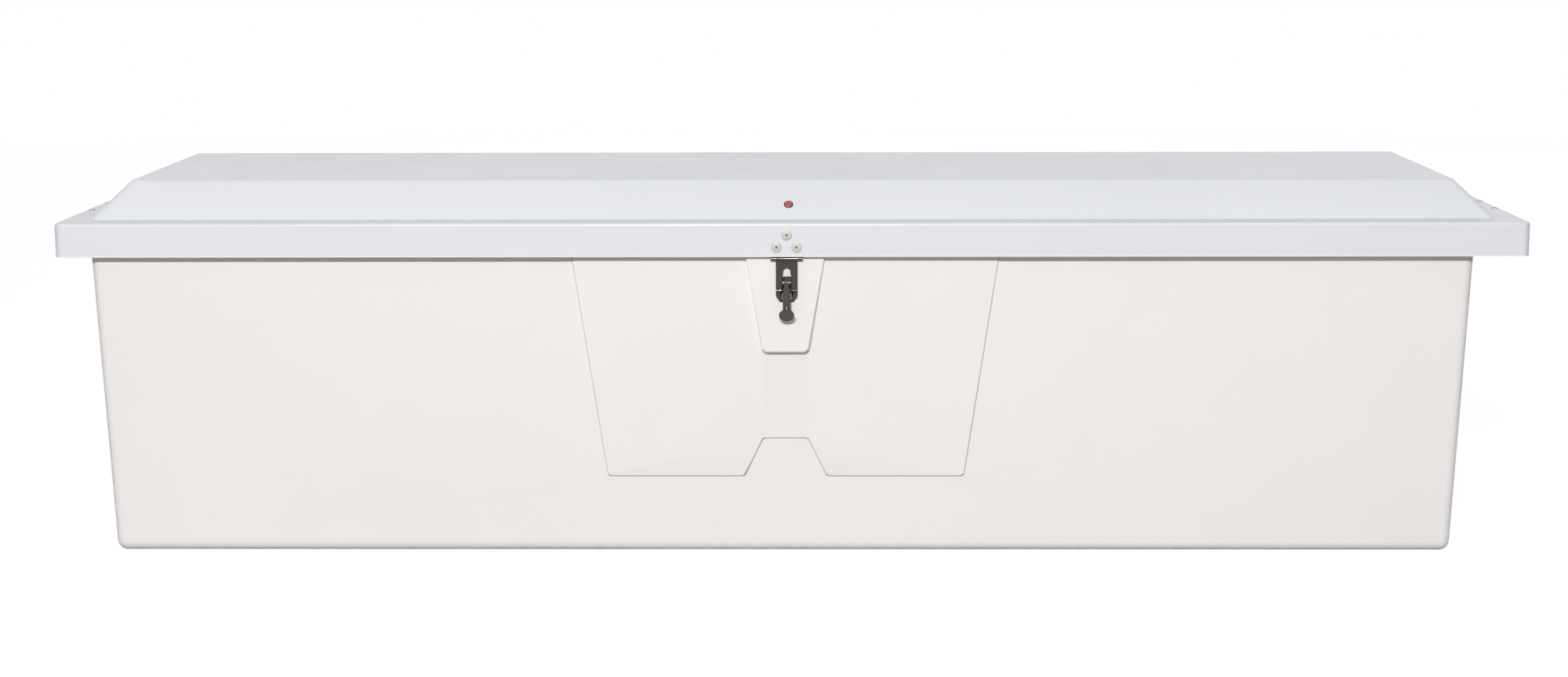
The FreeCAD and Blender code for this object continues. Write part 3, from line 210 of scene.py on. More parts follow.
def ramp(tree, factor, low, high, start=0.35, end=0.65):
    """A blend between two colours over a stretch of a factor."""
    node = add(tree, "ShaderNodeValToRGB", Fac=factor)
    node.color_ramp.elements[0].position = start
    node.color_ramp.elements[0].color = (*low, 1)
    node.color_ramp.elements[1].position = end
    node.color_ramp.elements[1].color = (*high, 1)
    return node.outputs["Color"]


def spread(tree, factor, low, high):
    """A factor spread over a range of plain numbers."""
    node = add(tree, "ShaderNodeMapRange", Value=factor, To_Min=low, To_Max=high)
    node.inputs["From Min"].default_value = 0.3
    node.inputs["From Max"].default_value = 0.7
    return node.outputs["Result"]


def bump(tree, height, distance, under=None):
    inputs = {"Height": height, "Distance": distance, "Strength": 1.0}
    if under is not None:
        inputs["Normal"] = under
    return add(tree, "ShaderNodeBump", **inputs).outputs["Normal"]


def math_node(tree, operation, first, second=0.0, third=0.0):
    node = tree.nodes.new("ShaderNodeMath")
    node.operation = operation
    for socket, value in zip(node.inputs, (first, second, third)):
        if isinstance(value, bpy.types.NodeSocket):
            tree.links.new(value, socket)
        else:
            socket.default_value = value
    return node.outputs["Value"]


def blend(tree, factor, first, second):
    """A mix of two colours."""
    node = tree.nodes.new("ShaderNodeMix")
    node.data_type = "RGBA"
    sockets = (node.inputs["Factor"], node.inputs[6], node.inputs[7])
    for socket, value in zip(sockets, (factor, first, second)):
        if isinstance(value, bpy.types.NodeSocket):
            tree.links.new(value, socket)
        else:
            socket.default_value = (*value, 1)
    return node.outputs[2]


def inside_of(tree, *hollows):
    """1 inside any of some boxes that widen upwards by a slope: the hollow side of a moulding."""
    parts = tree.nodes.new("ShaderNodeSeparateXYZ")
    tree.links.new(place(tree), parts.inputs["Vector"])
    height = parts.outputs["Z"]
    total = None
    for middle, half_length, half_depth, low, high, flare in hollows:
        inside = math_node(tree, "MULTIPLY", math_node(tree, "GREATER_THAN", height, low),
                           math_node(tree, "LESS_THAN", height, high))
        widening = math_node(tree, "MULTIPLY", math_node(tree, "SUBTRACT", height, low), flare)
        for axis, centre, half in (("X", middle, half_length), ("Y", 0.0, half_depth)):
            offset = math_node(tree, "SUBTRACT", parts.outputs[axis], centre)
            reach = math_node(tree, "ABSOLUTE", offset)
            near = math_node(tree, "LESS_THAN", math_node(tree, "SUBTRACT", reach, widening), half)
            inside = math_node(tree, "MULTIPLY", inside, near)
        total = inside if total is None else math_node(tree, "MAXIMUM", total, inside)
    return total


def panel_foot_shade(tree):
    """1 on the front wall along the foot of the raised panel and its notch: a band of painted shade in
    the step's corner.
    """
    parts = tree.nodes.new("ShaderNodeSeparateXYZ")
    tree.links.new(place(tree), parts.inputs["Vector"])
    height = parts.outputs["Z"]
    across = math_node(tree, "ABSOLUTE", math_node(tree, "SUBTRACT", parts.outputs["X"], PANEL_MIDDLE))

    def beyond(foot_half, flare):
        """How far a point is outside a leaning side that meets the panel's foot line at foot_half."""
        rise = math_node(tree, "SUBTRACT", height, PANEL_FOOT)
        side = math_node(tree, "ADD", math_node(tree, "MULTIPLY", rise, flare), foot_half)
        past = math_node(tree, "SUBTRACT", across, side)
        return math_node(tree, "MULTIPLY", past, math.cos(math.atan(flare)))

    below = math_node(tree, "SUBTRACT", PANEL_FOOT, height)
    panel = math_node(tree, "SMOOTH_MAX", beyond(PANEL_HALF, PANEL_FLARE), below, PANEL_ROUND)
    above = math_node(tree, "SUBTRACT", height, NOTCH_TOP)
    notch = math_node(tree, "SMOOTH_MAX", beyond(NOTCH_HALF, NOTCH_FLARE), above, PANEL_ROUND)
    edge = math_node(tree, "SMOOTH_MAX", panel, math_node(tree, "MULTIPLY", notch, -1.0), PANEL_ROUND)
    line = math_node(tree, "MULTIPLY", math_node(tree, "GREATER_THAN", edge, 0.0),
                     math_node(tree, "LESS_THAN", edge, LINE_WIDTH))
    lean = math_node(tree, "MULTIPLY", height, math.tan(WALL_DRAFT))
    upright = math_node(tree, "ADD", parts.outputs["Y"], lean)
    outside = math_node(tree, "LESS_THAN", upright, -WALL_MIDDLE)
    return math_node(tree, "MULTIPLY", line, outside)


def gelcoat(name, pale, dull, hollow, lip_bounce_light=None, foot_shade=None):
    """Gelcoat: faint clouding, slow waves and fine orange peel outside, and a rough glass mat inside;
    optionally a warm band of painted light along a lower lip and a band of painted shade at the raised
    panel's foot.
    """
    material, shader, tree = shader_of(name, pale, IOR=1.46)
    inner = inside_of(tree, *hollow)
    clouds = noise(tree, place(tree), 2.2, 4.0)
    outer_color = ramp(tree, clouds, dull, pale)
    # Painted light: below a height the colour turns warm, standing in for light reflected from the tub
    # onto the lid's lower lip.
    if lip_bounce_light is not None:
        height = tree.nodes.new("ShaderNodeSeparateXYZ")
        tree.links.new(place(tree), height.inputs["Vector"])
        low = math_node(tree, "LESS_THAN", height.outputs["Z"], lip_bounce_light[0])
        outer_color = blend(tree, low, outer_color, lip_bounce_light[1])
    # Painted shade: a darker band on the wall along the foot of the raised panel and its notch.
    if foot_shade is not None:
        outer_color = blend(tree, panel_foot_shade(tree), outer_color, foot_shade)
    strands = add(tree, "ShaderNodeTexVoronoi", Vector=stretched(tree, (70, 95, 60)), Scale=1.0)
    strands.feature = "SMOOTH_F1"
    flock = noise(tree, place(tree), 130.0, 4.0, 0.65)
    mat = math_node(tree, "ADD", strands.outputs["Distance"], flock)
    inner_color = ramp(tree, flock, tuple(0.93 * part for part in dull), dull)
    tree.links.new(blend(tree, inner, outer_color, inner_color), shader.inputs["Base Color"])
    scuffs = spread(tree, noise(tree, place(tree), 9.0, 5.0), 0.33, 0.45)
    roughness = math_node(tree, "ADD", scuffs, math_node(tree, "MULTIPLY", inner, 0.22))
    tree.links.new(roughness, shader.inputs["Roughness"])
    tree.links.new(math_node(tree, "MULTIPLY", math_node(tree, "SUBTRACT", 1.0, inner), 0.22),
                   shader.inputs["Coat Weight"])
    shader.inputs["Coat Roughness"].default_value = 0.18
    waves = bump(tree, noise(tree, place(tree), 5.0, 1.0), 0.3 * MM)
    peel = bump(tree, noise(tree, place(tree), 420.0, 2.0), 0.012 * MM, waves)
    rough = bump(tree, math_node(tree, "MULTIPLY", mat, inner), 0.9 * MM, peel)
    tree.links.new(rough, shader.inputs["Normal"])
    return material


def brushed(name, color, low, high, scale):
    """Stainless steel with a fine grain along one axis."""
    material, shader, tree = shader_of(name, color, Metallic=1.0)
    grain = noise(tree, stretched(tree, scale), 1.0, 4.0, 0.7)
    tree.links.new(spread(tree, grain, low, high), shader.inputs["Roughness"])
    darker = tuple(0.9 * part for part in color)
    tree.links.new(ramp(tree, grain, darker, color), shader.inputs["Base Color"])
    tree.links.new(bump(tree, grain, 0.004 * MM), shader.inputs["Normal"])
    return material


def speckled(name, pale, dark, roughness, scale, depth, **sockets):
    """A plastic, rubber or paint with a grained surface."""
    material, shader, tree = shader_of(name, pale, Roughness=roughness, **sockets)
    grain = noise(tree, place(tree), scale, 3.0)
    tree.links.new(ramp(tree, grain, dark, pale), shader.inputs["Base Color"])
    tree.links.new(bump(tree, grain, depth * MM), shader.inputs["Normal"])
    return material


def rivet_metal(name, pale, dark, hole):
    """Satin aluminium, with the mandrel's hole marked by the mesh and coloured near black: painted shade
    in the recess.
    """
    material, shader, tree = shader_of(name, pale, Metallic=0.55)
    grain = noise(tree, place(tree), 800.0, 3.0)
    marked = tree.nodes.new("ShaderNodeAttribute")
    marked.attribute_name = "hole"
    face = ramp(tree, grain, dark, pale)
    # The marked recess takes the near-black hole colour: painted shade.
    tree.links.new(blend(tree, marked.outputs["Fac"], face, hole), shader.inputs["Base Color"])
    tree.links.new(spread(tree, grain, 0.38, 0.52), shader.inputs["Roughness"])
    tree.links.new(bump(tree, grain, 0.01 * MM), shader.inputs["Normal"])
    return material


# Hollow sides in metres: middle, half length and half depth at the foot, foot, top and widening
TUB_HOLLOW = [(0.0, 1.0577, 0.2872, 0.003, 0.5188, math.tan(WALL_DRAFT))]
CROWN_SLOPE = -55.6 / 58
LID_HOLLOW = [(0.015, 1.1405, 0.3275, 0.4772, 0.5272, 0.0),
              (0.015, 1.0951, 0.2821, 0.5272, 0.5845, CROWN_SLOPE)]
# The raised panel on the front wall, in metres, as the source gives it
PANEL_MIDDLE = 0.008
PANEL_FOOT = 0.125
PANEL_HALF = 0.280
PANEL_FLARE = 0.147
NOTCH_TOP = 0.187
NOTCH_HALF = 0.065
NOTCH_FLARE = -29 / 62
PANEL_ROUND = 0.0105
LINE_WIDTH = 0.0021
WALL_MIDDLE = 0.288
# The tub's last colour is painted shade, laid along the foot of the raised panel.
TUB_GELCOAT = gelcoat("tub_gelcoat", (0.885, 0.853, 0.835), (0.871, 0.838, 0.819), TUB_HOLLOW,
                      foot_shade=(0.60, 0.575, 0.555))
# The lid's gelcoat is a darker, bluer copy of the tub's white: painted shade for the dim, cool light on
# the lid's top faces.
SHADED_LID_GELCOAT = gelcoat("lid_gelcoat", (0.748, 0.762, 0.796), (0.735, 0.750, 0.785), LID_HOLLOW,
                      # The warm colour below the lip height is a painted reflection of light off the
                      # tub.
                      (0.4796, (0.88, 0.81, 0.75)))
# The latch and lever steels are near black: a painted reflection of a dark surround on polished
# stainless.
LATCH_STEEL_DARK_REFLECTING = brushed("latch_polished_steel", (0.070, 0.066, 0.062), 0.12, 0.24, (700, 700, 40))
LEVER_STEEL_DARK_REFLECTING = brushed("lever_polished_steel", (0.085, 0.080, 0.076), 0.06, 0.14, (500, 500, 120))
LEAF_STEEL = brushed("leaf_brushed_steel", (0.47, 0.47, 0.465), 0.22, 0.36, (25, 900, 900))
PLATE_STEEL = brushed("bracket_brushed_steel", (0.50, 0.50, 0.495), 0.20, 0.34, (900, 40, 900))
PIN_STEEL = brushed("pin_turned_steel", (0.40, 0.40, 0.40), 0.12, 0.22, (1200, 300, 300))
BOLT_STEEL = brushed("bolt_zinc_steel", (0.46, 0.46, 0.45), 0.18, 0.30, (600, 600, 600))
ROD_CHROME = brushed("rod_hard_chrome", (0.66, 0.66, 0.68), 0.04, 0.09, (900, 80, 900))
RIVET_METAL = rivet_metal("rivet_satin_aluminium", (0.50, 0.485, 0.455), (0.43, 0.415, 0.39),
                          (0.085, 0.075, 0.062))
RUBBER = speckled("seal_black_rubber", (0.030, 0.030, 0.031), (0.020, 0.020, 0.020), 0.72, 900.0, 0.05)
STRUT_PAINT = speckled("strut_black_paint", (0.022, 0.022, 0.024), (0.015, 0.015, 0.016), 0.34, 600.0,
                       0.006, Coat_Weight=0.4)
END_PLASTIC = speckled("strut_end_plastic", (0.036, 0.036, 0.037), (0.026, 0.026, 0.027), 0.5, 700.0,
                       0.02)
BADGE_RED = speckled("badge_red_enamel", (0.50, 0.050, 0.045), (0.34, 0.030, 0.028), 0.16, 260.0, 0.004,
                     Coat_Weight=0.8)
BADGE_RIM = speckled("badge_dark_rim", (0.070, 0.045, 0.045), (0.035, 0.024, 0.024), 0.32, 500.0, 0.01)


def finish_nodes(material, slot_name, *names):
    for name in names:
        nodes[name].data.materials.clear()
        nodes[name].data.materials.append(material)


def finish_piece(piece, material, slot_name, body, *replaced):
    piece.data.materials.clear()
    piece.data.materials.append(material)
    if replaced:
        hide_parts(*replaced)
    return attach(piece, body)


SIDES = ("left", "right")
finish_nodes(LATCH_STEEL_DARK_REFLECTING, "stainless_steel", "latch_hinge_leaf")
finish_nodes(PIN_STEEL, "stainless_steel", "hinge_pin", "latch_hinge_pin", "lever_pin")
finish_nodes(BADGE_RIM, "red_badge", "lid_badge")
for side in SIDES:
    finish_nodes(ROD_CHROME, "chrome_rod", f"strut_rod_{side}")
    finish_nodes(PLATE_STEEL, "stainless_steel", f"strut_foot_bracket_{side}",
                 f"strut_head_bracket_{side}")

# The mouldings and the latch, with their triangles joined

for name, node, material, slot_name, body in (
    ("tub_moulding", "tub_shell", TUB_GELCOAT, "white_gelcoat", "tub"),
    ("lid_moulding", "lid_shell", SHADED_LID_GELCOAT, "white_gelcoat", "lid"),
    ("latch_hasp", "latch_strap", LATCH_STEEL_DARK_REFLECTING, "stainless_steel", "strap"),
    ("cam_lever", "latch_lever", LEVER_STEEL_DARK_REFLECTING, "stainless_steel", "lever"),
    ("keeper", "latch_keeper", LATCH_STEEL_DARK_REFLECTING, "stainless_steel", "tub"),
):
    finish_piece(merged_copy(name, node), material, slot_name, body, node)
for side in SIDES:
    for end, body in (("foot", "rod"), ("head", "tube")):
        eye = f"strut_{end}_eye_{side}"
        piece = merged_copy(f"strut_{end}_end_{side}", eye)
        finish_piece(piece, END_PLASTIC, "black_end", f"strut_{body}_{side}_body", eye)


# Blind rivets: a domed head with the mandrel's recess, a shank and a set tail

def rivet_mesh(head, height, grip, shank=2.4, tail=3.6, hole=1.7):
    rolled = 0.42 * height
    dome = arc((head - rolled, rolled), rolled, 0, 90, 3)
    crown = [(0.82 * head, 0.84 * height), (0.5 * head, 0.96 * height), (hole + 0.25, height)]
    recess = [(hole, 0.97 * height), (hole - 0.1, 0.5 * height), (0.6 * hole, 0.42 * height),
              (0, 0.4 * height)]
    under = [(0, -grip - 3), (0.7 * tail, -grip - 3), (tail, -grip - 1.8), (tail, -grip),
             (shank, -grip), (shank, -0.2), (0.97 * head, -0.02)]
    rim = [(head, 0.12 * height)]
    mesh = lathe(f"rivet_{head:g}", under + rim + dome + crown + recess)
    # Vertices inside the mandrel's recess are marked to receive painted shade.
    marked = mesh.attributes.new("hole", "FLOAT", "POINT")
    limit = (hole + 0.05) * MM
    marked.data.foreach_set("value", [float(math.hypot(v.co.x, v.co.y) < limit and v.co.z > 0)
                                      for v in mesh.vertices])
    return mesh


def seats_tree():
    """Geometry Nodes: one copy of a model on each seat, turned to face as the seat's attribute says."""
    tree = bpy.data.node_groups.new("copies_on_seats", "GeometryNodeTree")
    for name, kind in (("Seats", "NodeSocketGeometry"), ("Model", "NodeSocketObject"),
                       ("Finish", "NodeSocketMaterial")):
        tree.interface.new_socket(name, in_out="INPUT", socket_type=kind)
    tree.interface.new_socket("Copies", in_out="OUTPUT", socket_type="NodeSocketGeometry")
    start = tree.nodes.new("NodeGroupInput")
    facing = tree.nodes.new("GeometryNodeInputNamedAttribute")
    facing.data_type = "FLOAT_VECTOR"
    facing.inputs["Name"].default_value = "facing"
    turn = add(tree, "FunctionNodeAlignRotationToVector", Vector=facing.outputs["Attribute"])
    turn.axis = "Z"
    model = add(tree, "GeometryNodeObjectInfo", Object=start.outputs["Model"])
    copies = add(tree, "GeometryNodeInstanceOnPoints", Points=start.outputs["Seats"],
                 Instance=model.outputs["Geometry"], Rotation=turn.outputs["Rotation"])
    real = add(tree, "GeometryNodeRealizeInstances", Geometry=copies.outputs["Instances"])
    dressed = add(tree, "GeometryNodeSetMaterial", Geometry=real.outputs["Geometry"],
                  Material=start.outputs["Finish"])
    end = tree.nodes.new("NodeGroupOutput")
    tree.links.new(dressed.outputs["Geometry"], end.inputs["Copies"])
    return tree


SEATS_TREE = seats_tree()


def copies(name, model_mesh, seats, facings, material):
    """One mesh of all the copies of a model, each with its Z axis along its facing."""
    points = bpy.data.meshes.new(name)
    points.from_pydata(seats, [], [])
    attribute = points.attributes.new("facing", "FLOAT_VECTOR", "POINT")
    attribute.data.foreach_set("vector", [part for facing in facings for part in facing])
    row = link(name, points)
    model = link(name + "_model", model_mesh)
    modifier = row.modifiers.new("copies", "NODES")
    modifier.node_group = SEATS_TREE
    identifiers = {item.name: item.identifier for item in SEATS_TREE.interface.items_tree}
    modifier[identifiers["Model"]] = model
    modifier[identifiers["Finish"]] = material
    piece = applied(row)
    bpy.data.objects.remove(model)
    smooth(piece.data)
    return piece


def rivet_row(name, node, facing_of, size, grip, material, body):
    """Rivets in the places of a CAD node's own; facing_of gives each solid's outward direction."""
    head, height = size
    solids = solids_of(node)
    facings = [facing_of(solid) for solid in solids]
    seats = [far_centre(solid, facing) - facing * height * MM for solid, facing in zip(solids, facings)]
    piece = copies(name, rivet_mesh(head, height, grip), seats, facings, material)
    return finish_piece(piece, material, "stainless_steel", body, node)


FRONT = Vector((0, -1, 0))
UP = Vector((0, 0, 1))
REAR = Vector((0, 1, 0))
REAR_WALL = Vector((0, math.cos(WALL_DRAFT), -math.sin(WALL_DRAFT)))


def end_wall(solid):
    side = math.copysign(1, solid[0].x)
    return Vector((side * math.cos(WALL_DRAFT), 0, -math.sin(WALL_DRAFT)))


LARGE_HEAD = (8.0, 2.0)
SMALL_HEAD = (5.0, 1.5)
for name, node, facing_of, size, grip, body in (
    ("latch_rivet_heads", "latch_rivets", lambda solid: FRONT, LARGE_HEAD, 7.0, "lid"),
    ("lid_leaf_rivet_heads", "lid_hinge_rivets", lambda solid: REAR, SMALL_HEAD, 6.5, "lid"),
    ("tub_leaf_rivet_heads", "tub_hinge_rivets", lambda solid: REAR_WALL, SMALL_HEAD, 6.5, "tub"),
    ("strut_foot_rivet_heads", "strut_foot_rivets", end_wall, SMALL_HEAD, 8.0, "tub"),
    ("strut_head_rivet_heads", "strut_head_rivets", lambda solid: UP, SMALL_HEAD, 8.0, "lid"),
):
    rivet_row(name, node, facing_of, size, grip, RIVET_METAL, body)


# The badge: a low plain dome set in the rim

def badge_face():
    low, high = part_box("lid_badge")
    slope = Vector((0, low.z - high.z, high.y - low.y)).normalized()
    points = [vertex.co for vertex in nodes["lid_badge"].data.vertices]
    top = far_centre(points, slope)
    profile = [(0, -1.2), (5.6, -1.2), (5.9, -0.2), (5.2, 0.35), (3.6, 0.75), (1.8, 0.95), (0, 1.0)]
    mesh = lathe("badge_face", profile, 36)
    turn = slope.to_track_quat("Z", "Y").to_matrix().to_4x4()
    mesh.transform(Matrix.Translation(top) @ turn)
    return link("badge_face", mesh)


finish_piece(badge_face(), BADGE_RED, "red_badge", "lid")


# Rim seals: rubber bulbs on ribbed feet, in the places of the plain strips

def seal_outline(middle, foot, width, height):
    """A bulb seal across Y and Z: a foot with side grooves, and a round top."""
    half = width / 2
    groove = [(half, 0), (half, 1.2), (half - 0.7, 1.5), (half - 0.7, 1.9), (half, 2.2)]
    bulb = arc((0, height - 3.4), 3.4, 0, 180, 10)
    right = groove + [(half - 0.2, height - 3.6)]
    left = [(-y, z) for y, z in reversed(right)]
    return [(middle + y, foot + z) for y, z in right + bulb + left]


def rim_seals():
    form = bmesh.new()
    low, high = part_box("rim_strips")
    foot, top = low.z / MM, high.z / MM
    width = 8.0
    for middle in (low.y / MM + width / 2, high.y / MM - width / 2):
        prism(form, seal_outline(middle, foot, width, top - foot), low.x / MM, high.x / MM)
    return link("rim_seals", mesh_from("rim_seals", form))


finish_piece(rim_seals(), RUBBER, "black_rubber", "tub", "rim_strips")


# Rear piano hinge: plain leaves with many short knuckles, in the places of the few long ones

KNUCKLE_COUNT = 78
KNUCKLE = 4.0
BORE = 2.1
LEAF = 1.5
KNUCKLE_GAP = 0.35


def piano_leaf(name, node, first, ring, tail, plate):
    """A leaf: a plate along X, and every second knuckle, a ring with a tail that runs into the plate."""
    low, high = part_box("hinge_pin")
    axis = (low + high) / 2
    start, end = low.x / MM, high.x / MM
    pitch = (end - start) / KNUCKLE_COUNT
    form = bmesh.new()
    outer = arc((0, 0), KNUCKLE, ring[0], ring[1], 16)
    inner = arc((0, 0), BORE, ring[1], ring[0], 16)
    prism(form, outer + inner + tail, KNUCKLE_GAP, pitch - KNUCKLE_GAP)
    seats = [Vector(((start + i * pitch) * MM, axis.y, axis.z)) for i in range(first, KNUCKLE_COUNT, 2)]
    row = copies(name, mesh_from(name, form), seats, [UP] * len(seats), LEAF_STEEL)
    form = bmesh.new()
    form.from_mesh(row.data)
    prism(form, [(axis.y / MM + y, axis.z / MM + z) for y, z in plate], start, end)
    form.to_mesh(row.data)
    form.free()
    smooth(row.data)
    return row


def finish_hinge():
    low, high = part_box("hinge_tub_leaf")
    axis_y = (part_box("hinge_pin")[0].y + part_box("hinge_pin")[1].y) / 2
    axis_z = (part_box("hinge_pin")[0].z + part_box("hinge_pin")[1].z) / 2
    foot = (low.z - axis_z) / MM
    wall = (low.y - axis_y) / MM
    rise = -KNUCKLE - foot
    wall_top = wall + rise * math.tan(WALL_DRAFT)
    notch = -KNUCKLE - 0.6
    tub_plate = [(notch, -KNUCKLE), (notch, LEAF - KNUCKLE), (wall_top + 0.06, LEAF - KNUCKLE),
                 (wall, foot), (wall + LEAF, foot), (wall_top + LEAF, -KNUCKLE - 1.0),
                 (wall_top + LEAF + 0.4, -KNUCKLE - 0.3), (wall_top + LEAF + 1.1, -KNUCKLE)]
    tub_tail = [(-0.6, LEAF - KNUCKLE), (notch, LEAF - KNUCKLE), (notch, -KNUCKLE)]
    tub_leaf = piano_leaf("tub_piano_leaf", "hinge_tub_leaf", 0, (-90, 190), tub_tail, tub_plate)
    finish_piece(tub_leaf, LEAF_STEEL, "stainless_steel", "tub", "hinge_tub_leaf")
    low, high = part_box("hinge_lid_leaf")
    back = (high.y - axis_y) / MM
    top = (high.z - axis_z) / MM
    lid_tail = [(back - LEAF, 0.6), (back - LEAF, KNUCKLE + 0.6), (back, KNUCKLE + 0.6), (back, 0.3)]
    lid_plate = [(back - LEAF, KNUCKLE + 0.6), (back, KNUCKLE + 0.6), (back, top - 0.3),
                 (back - 0.3, top), (back - LEAF, top)]
    lid_leaf = piano_leaf("lid_piano_leaf", "hinge_lid_leaf", 1, (0, -250), lid_tail, lid_plate)
    finish_piece(lid_leaf, LEAF_STEEL, "stainless_steel", "lid", "hinge_lid_leaf")


finish_hinge()


# Keeper bolts with a cross recess and a thread, and chamfered nuts on washers

def cross_recessed(name, mesh, reach=2.1, width=0.85, depth=1.5):
    """A head with a cross cut into it: a boolean with two crossed bars."""
    cutter = bmesh.new()
    bar = [(-reach, -width / 2), (reach, -width / 2), (reach, width / 2), (-reach, width / 2)]
    prism(cutter, bar, -depth, 1.0, "xy")
    prism(cutter, [(y, x) for x, y in bar[::-1]], -depth, 1.0, "xy")
    tool = link(name + "_cutter", mesh_from(name + "_cutter", cutter))
    head = link(name, mesh)
    modifier = head.modifiers.new("cross", "BOOLEAN")
    modifier.operation = "DIFFERENCE"
    modifier.solver = "EXACT"
    modifier.use_self = True
    modifier.object = tool
    head = applied(head)
    bpy.data.objects.remove(tool)
    cut = head.data.copy()
    bpy.data.objects.remove(head)
    return cut


def bolt_mesh(length, shank=2.5, head=4.6, sink=2.0, pitch=0.8, thread=11.0):
    turns = int(thread / pitch)
    tip = [(0, -length), (shank - 0.7, -length), (shank - 0.35, -length + 0.4)]
    threads = []
    for i in range(turns):
        at = -length + 0.5 + i * pitch
        threads += [(shank, at + 0.35 * pitch), (shank - 0.35, at + 0.9 * pitch)]
    top = [(shank, -length + thread + 0.9), (shank, -sink), (head, -0.25), (head, 0), (0, 0)]
    return cross_recessed("keeper_bolt", lathe("keeper_bolt", tip + threads + top, 20))


WASHER_HEIGHT = 1.2
NUT_HEIGHT = 5.0


def nut_mesh(washer=6.5, radius=4.6, bore=2.6):
    form = bmesh.new()
    edge = 0.2
    outline = [(bore, 0), (washer - edge, 0), (washer, edge), (washer, WASHER_HEIGHT - edge),
               (washer - edge, WASHER_HEIGHT), (bore, WASHER_HEIGHT), (bore, 0)]
    mesh = lathe("nut_washer", outline)
    form.from_mesh(mesh)
    bpy.data.meshes.remove(mesh)
    rings = []
    for size, level in ((0.92, 0.0), (1.0, 0.45), (1.0, NUT_HEIGHT - 0.5), (0.9, NUT_HEIGHT)):
        ring = [(radius * size * math.cos(i * math.tau / 6), radius * size * math.sin(i * math.tau / 6))
                for i in range(6)]
        rings.append([form.verts.new((x * MM, y * MM, (WASHER_HEIGHT + level) * MM)) for x, y in ring])
    for lower, upper in zip(rings, rings[1:]):
        for i in range(6):
            j = (i + 1) % 6
            form.faces.new((lower[i], lower[j], upper[j], upper[i]))
    form.faces.new(rings[-1])
    form.faces.new(rings[0][::-1])
    return mesh_from("keeper_nut", form)


def keeper_fixings():
    depths = [point.dot(FRONT) for point in solids_of("keeper_bolts")[0]]
    bolt = bolt_mesh((max(depths) - min(depths)) / MM)
    for node, facing, model, height in (
        ("keeper_bolts", FRONT, bolt, 0.0),
        ("keeper_nuts", REAR, nut_mesh(), WASHER_HEIGHT + NUT_HEIGHT),
    ):
        seats = [far_centre(solid, facing) - facing * height * MM for solid in solids_of(node)]
        piece = copies(node + "_detailed", model, seats, [facing] * len(seats), BOLT_STEEL)
        finish_piece(piece, BOLT_STEEL, "stainless_steel", "tub", node)


keeper_fixings()


# Strut tubes with a rolled groove that holds the gland, and a welded end

STRUT_FOOT = Vector((1.098031, 0.239991, 0.420))
STRUT_LEAN = math.radians(166.0455)
TUBE_START = 85.035
TUBE_LENGTH = 225.0


def strut_tube(side, sign):
    length = TUBE_LENGTH
    groove = [(9, 12.5), (8.6, 13.2), (8.35, 14.2), (8.6, 15.2), (9, 15.9)]
    weld = [(9, length - 6.0), (8.75, length - 5.6), (8.75, length - 5.0), (9, length - 4.6)]
    end = [(8.9, length - 3), (7.6, length - 0.6), (7, length)]
    outside = [(8, 0), (8.7, 0.8), (9, 3)] + groove + weld + end
    bore = [(7.5, length - 5), (7.5, 12), (4.05, 12), (4.05, 0)]
    profile = [(0, length)] + outside[::-1] + bore[::-1] + [(0, length - 5)]
    mesh = lathe(f"strut_tube_{side}_grooved", profile, 36)
    along = Vector((0, math.cos(STRUT_LEAN), math.sin(STRUT_LEAN)))
    foot = Vector((sign * STRUT_FOOT.x, STRUT_FOOT.y, STRUT_FOOT.z)) + along * TUBE_START * MM
    mesh.transform(Matrix.Translation(foot) @ along.to_track_quat("Z", "X").to_matrix().to_4x4())
    piece = link(f"strut_tube_{side}_grooved", mesh)
    finish_piece(piece, STRUT_PAINT, "black_tube", f"strut_tube_{side}_body", f"strut_tube_{side}")


strut_tube("left", -1)
strut_tube("right", 1)


# Floor, light and camera

def seen_factor(tree):
    """1 for what the camera sees, straight, in a gloss or through glass; 0 for plain lighting."""
    rays = tree.nodes.new("ShaderNodeLightPath")
    total = rays.outputs["Is Camera Ray"]
    for name in ("Is Glossy Ray", "Is Transmission Ray"):
        total = math_node(tree, "MAXIMUM", total, rays.outputs[name])
    return total


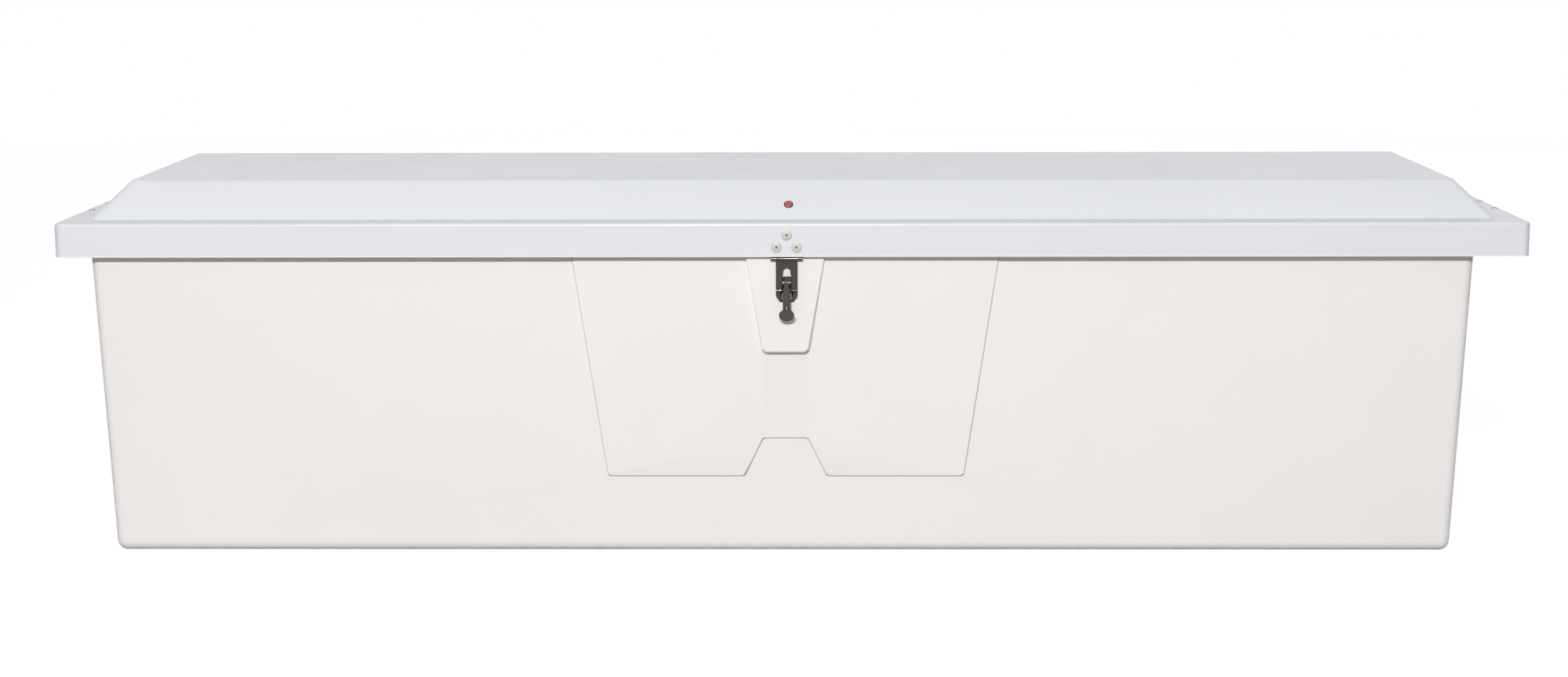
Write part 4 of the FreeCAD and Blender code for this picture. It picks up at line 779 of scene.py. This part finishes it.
def make_floor(reach=80.0, color=0.34, lift=0.80):
    """A plain floor, seen lifted towards white with the box's soft shadow, and pure white far off."""
    mesh = bpy.data.meshes.new("floor")
    corners = [(-reach, -reach, 0), (reach, -reach, 0), (reach, reach, 0), (-reach, reach, 0)]
    mesh.from_pydata(corners, [], [(0, 1, 2, 3)])
    material = bpy.data.materials.new("floor")
    material.use_nodes = True
    tree = material.node_tree
    tree.nodes.clear()
    matt = add(tree, "ShaderNodeBsdfDiffuse", Color=(color, color, color, 1))
    lifted = add(tree, "ShaderNodeEmission", Color=(1, 1, 1, 1),
                 Strength=math_node(tree, "MULTIPLY", seen_factor(tree), lift))
    near = tree.nodes.new("ShaderNodeAddShader")
    tree.links.new(matt.outputs["BSDF"], near.inputs[0])
    tree.links.new(lifted.outputs["Emission"], near.inputs[1])
    far = add(tree, "ShaderNodeEmission", Color=(1, 1, 1, 1), Strength=1.0)
    distance = tree.nodes.new("ShaderNodeVectorMath")
    distance.operation = "LENGTH"
    tree.links.new(place(tree), distance.inputs[0])
    faded = add(tree, "ShaderNodeMapRange", Value=distance.outputs["Value"])
    faded.inputs["From Min"].default_value = 2.4
    faded.inputs["From Max"].default_value = 8.0
    gate = math_node(tree, "MULTIPLY", faded.outputs["Result"], seen_factor(tree))
    mixed = tree.nodes.new("ShaderNodeMixShader")
    tree.links.new(gate, mixed.inputs["Fac"])
    tree.links.new(near.outputs["Shader"], mixed.inputs[1])
    tree.links.new(far.outputs["Emission"], mixed.inputs[2])
    end = tree.nodes.new("ShaderNodeOutputMaterial")
    tree.links.new(mixed.outputs["Shader"], end.inputs["Surface"])
    mesh.materials.append(material)
    link("floor", mesh)


def make_world(color, strength):
    world = bpy.data.worlds.new("studio")
    world.use_nodes = True
    tree = world.node_tree
    tree.nodes.clear()
    ambient = add(tree, "ShaderNodeBackground", Color=(*color, 1), Strength=strength)
    shown = add(tree, "ShaderNodeBackground", Color=(1, 1, 1, 1), Strength=1.0)
    mixed = tree.nodes.new("ShaderNodeMixShader")
    tree.links.new(seen_factor(tree), mixed.inputs["Fac"])
    tree.links.new(ambient.outputs["Background"], mixed.inputs[1])
    tree.links.new(shown.outputs["Background"], mixed.inputs[2])
    end = tree.nodes.new("ShaderNodeOutputWorld")
    tree.links.new(mixed.outputs["Shader"], end.inputs["Surface"])
    bpy.context.scene.world = world


def area_light(name, place_at, aim, size, power, color=(1, 1, 1), glossy=True):
    data = bpy.data.lights.new(name, "AREA")
    data.shape = "RECTANGLE"
    data.size, data.size_y = size
    data.energy = power
    data.color = color
    light = bpy.data.objects.new(name, data)
    light.location = place_at
    light.rotation_mode = "QUATERNION"
    light.rotation_quaternion = (Vector(aim) - Vector(place_at)).to_track_quat("-Z", "Y")
    light.visible_glossy = glossy
    bpy.context.scene.collection.objects.link(light)


make_floor()
make_world((0.84, 0.90, 1.0), 0.36)
area_light("front_key", (-0.6, -7.0, 3.45), (0, 0, 0.3), (1.6, 0.4), 418.0, (1.0, 0.975, 0.95))
area_light("rear_fill", (2.6, 6.6, 1.5), (0, 0, 0.3), (3.0, 1.6), 260.0, glossy=False)

# The camera, as fitted to the photograph's outlines
PHOTO_WIDTH = 2000
FOCAL_PIXELS = 3400
CAMERA_AT = Vector((0.0639, -4.4211, 1.0169))
CAMERA_PITCH = math.radians(9.266)
CAMERA_YAW = math.radians(-0.808)
CAMERA_ROLL = math.radians(-0.162)


def make_camera():
    ahead = Vector((math.sin(CAMERA_YAW) * math.cos(CAMERA_PITCH),
                    math.cos(CAMERA_YAW) * math.cos(CAMERA_PITCH),
                    -math.sin(CAMERA_PITCH)))
    level = Vector((math.cos(CAMERA_YAW), -math.sin(CAMERA_YAW), 0))
    above = level.cross(ahead)
    right = level * math.cos(CAMERA_ROLL) + above * math.sin(CAMERA_ROLL)
    up = above * math.cos(CAMERA_ROLL) - level * math.sin(CAMERA_ROLL)
    data = bpy.data.cameras.new("camera")
    data.sensor_width = 36
    data.lens = data.sensor_width * FOCAL_PIXELS / PHOTO_WIDTH
    camera = bpy.data.objects.new("camera", data)
    turn = Matrix((right, up, -ahead)).transposed().to_4x4()
    camera.matrix_world = Matrix.Translation(CAMERA_AT) @ turn
    bpy.context.scene.collection.objects.link(camera)
    bpy.context.scene.camera = camera


make_camera()
bpy.context.scene.view_settings.view_transform = "Standard"
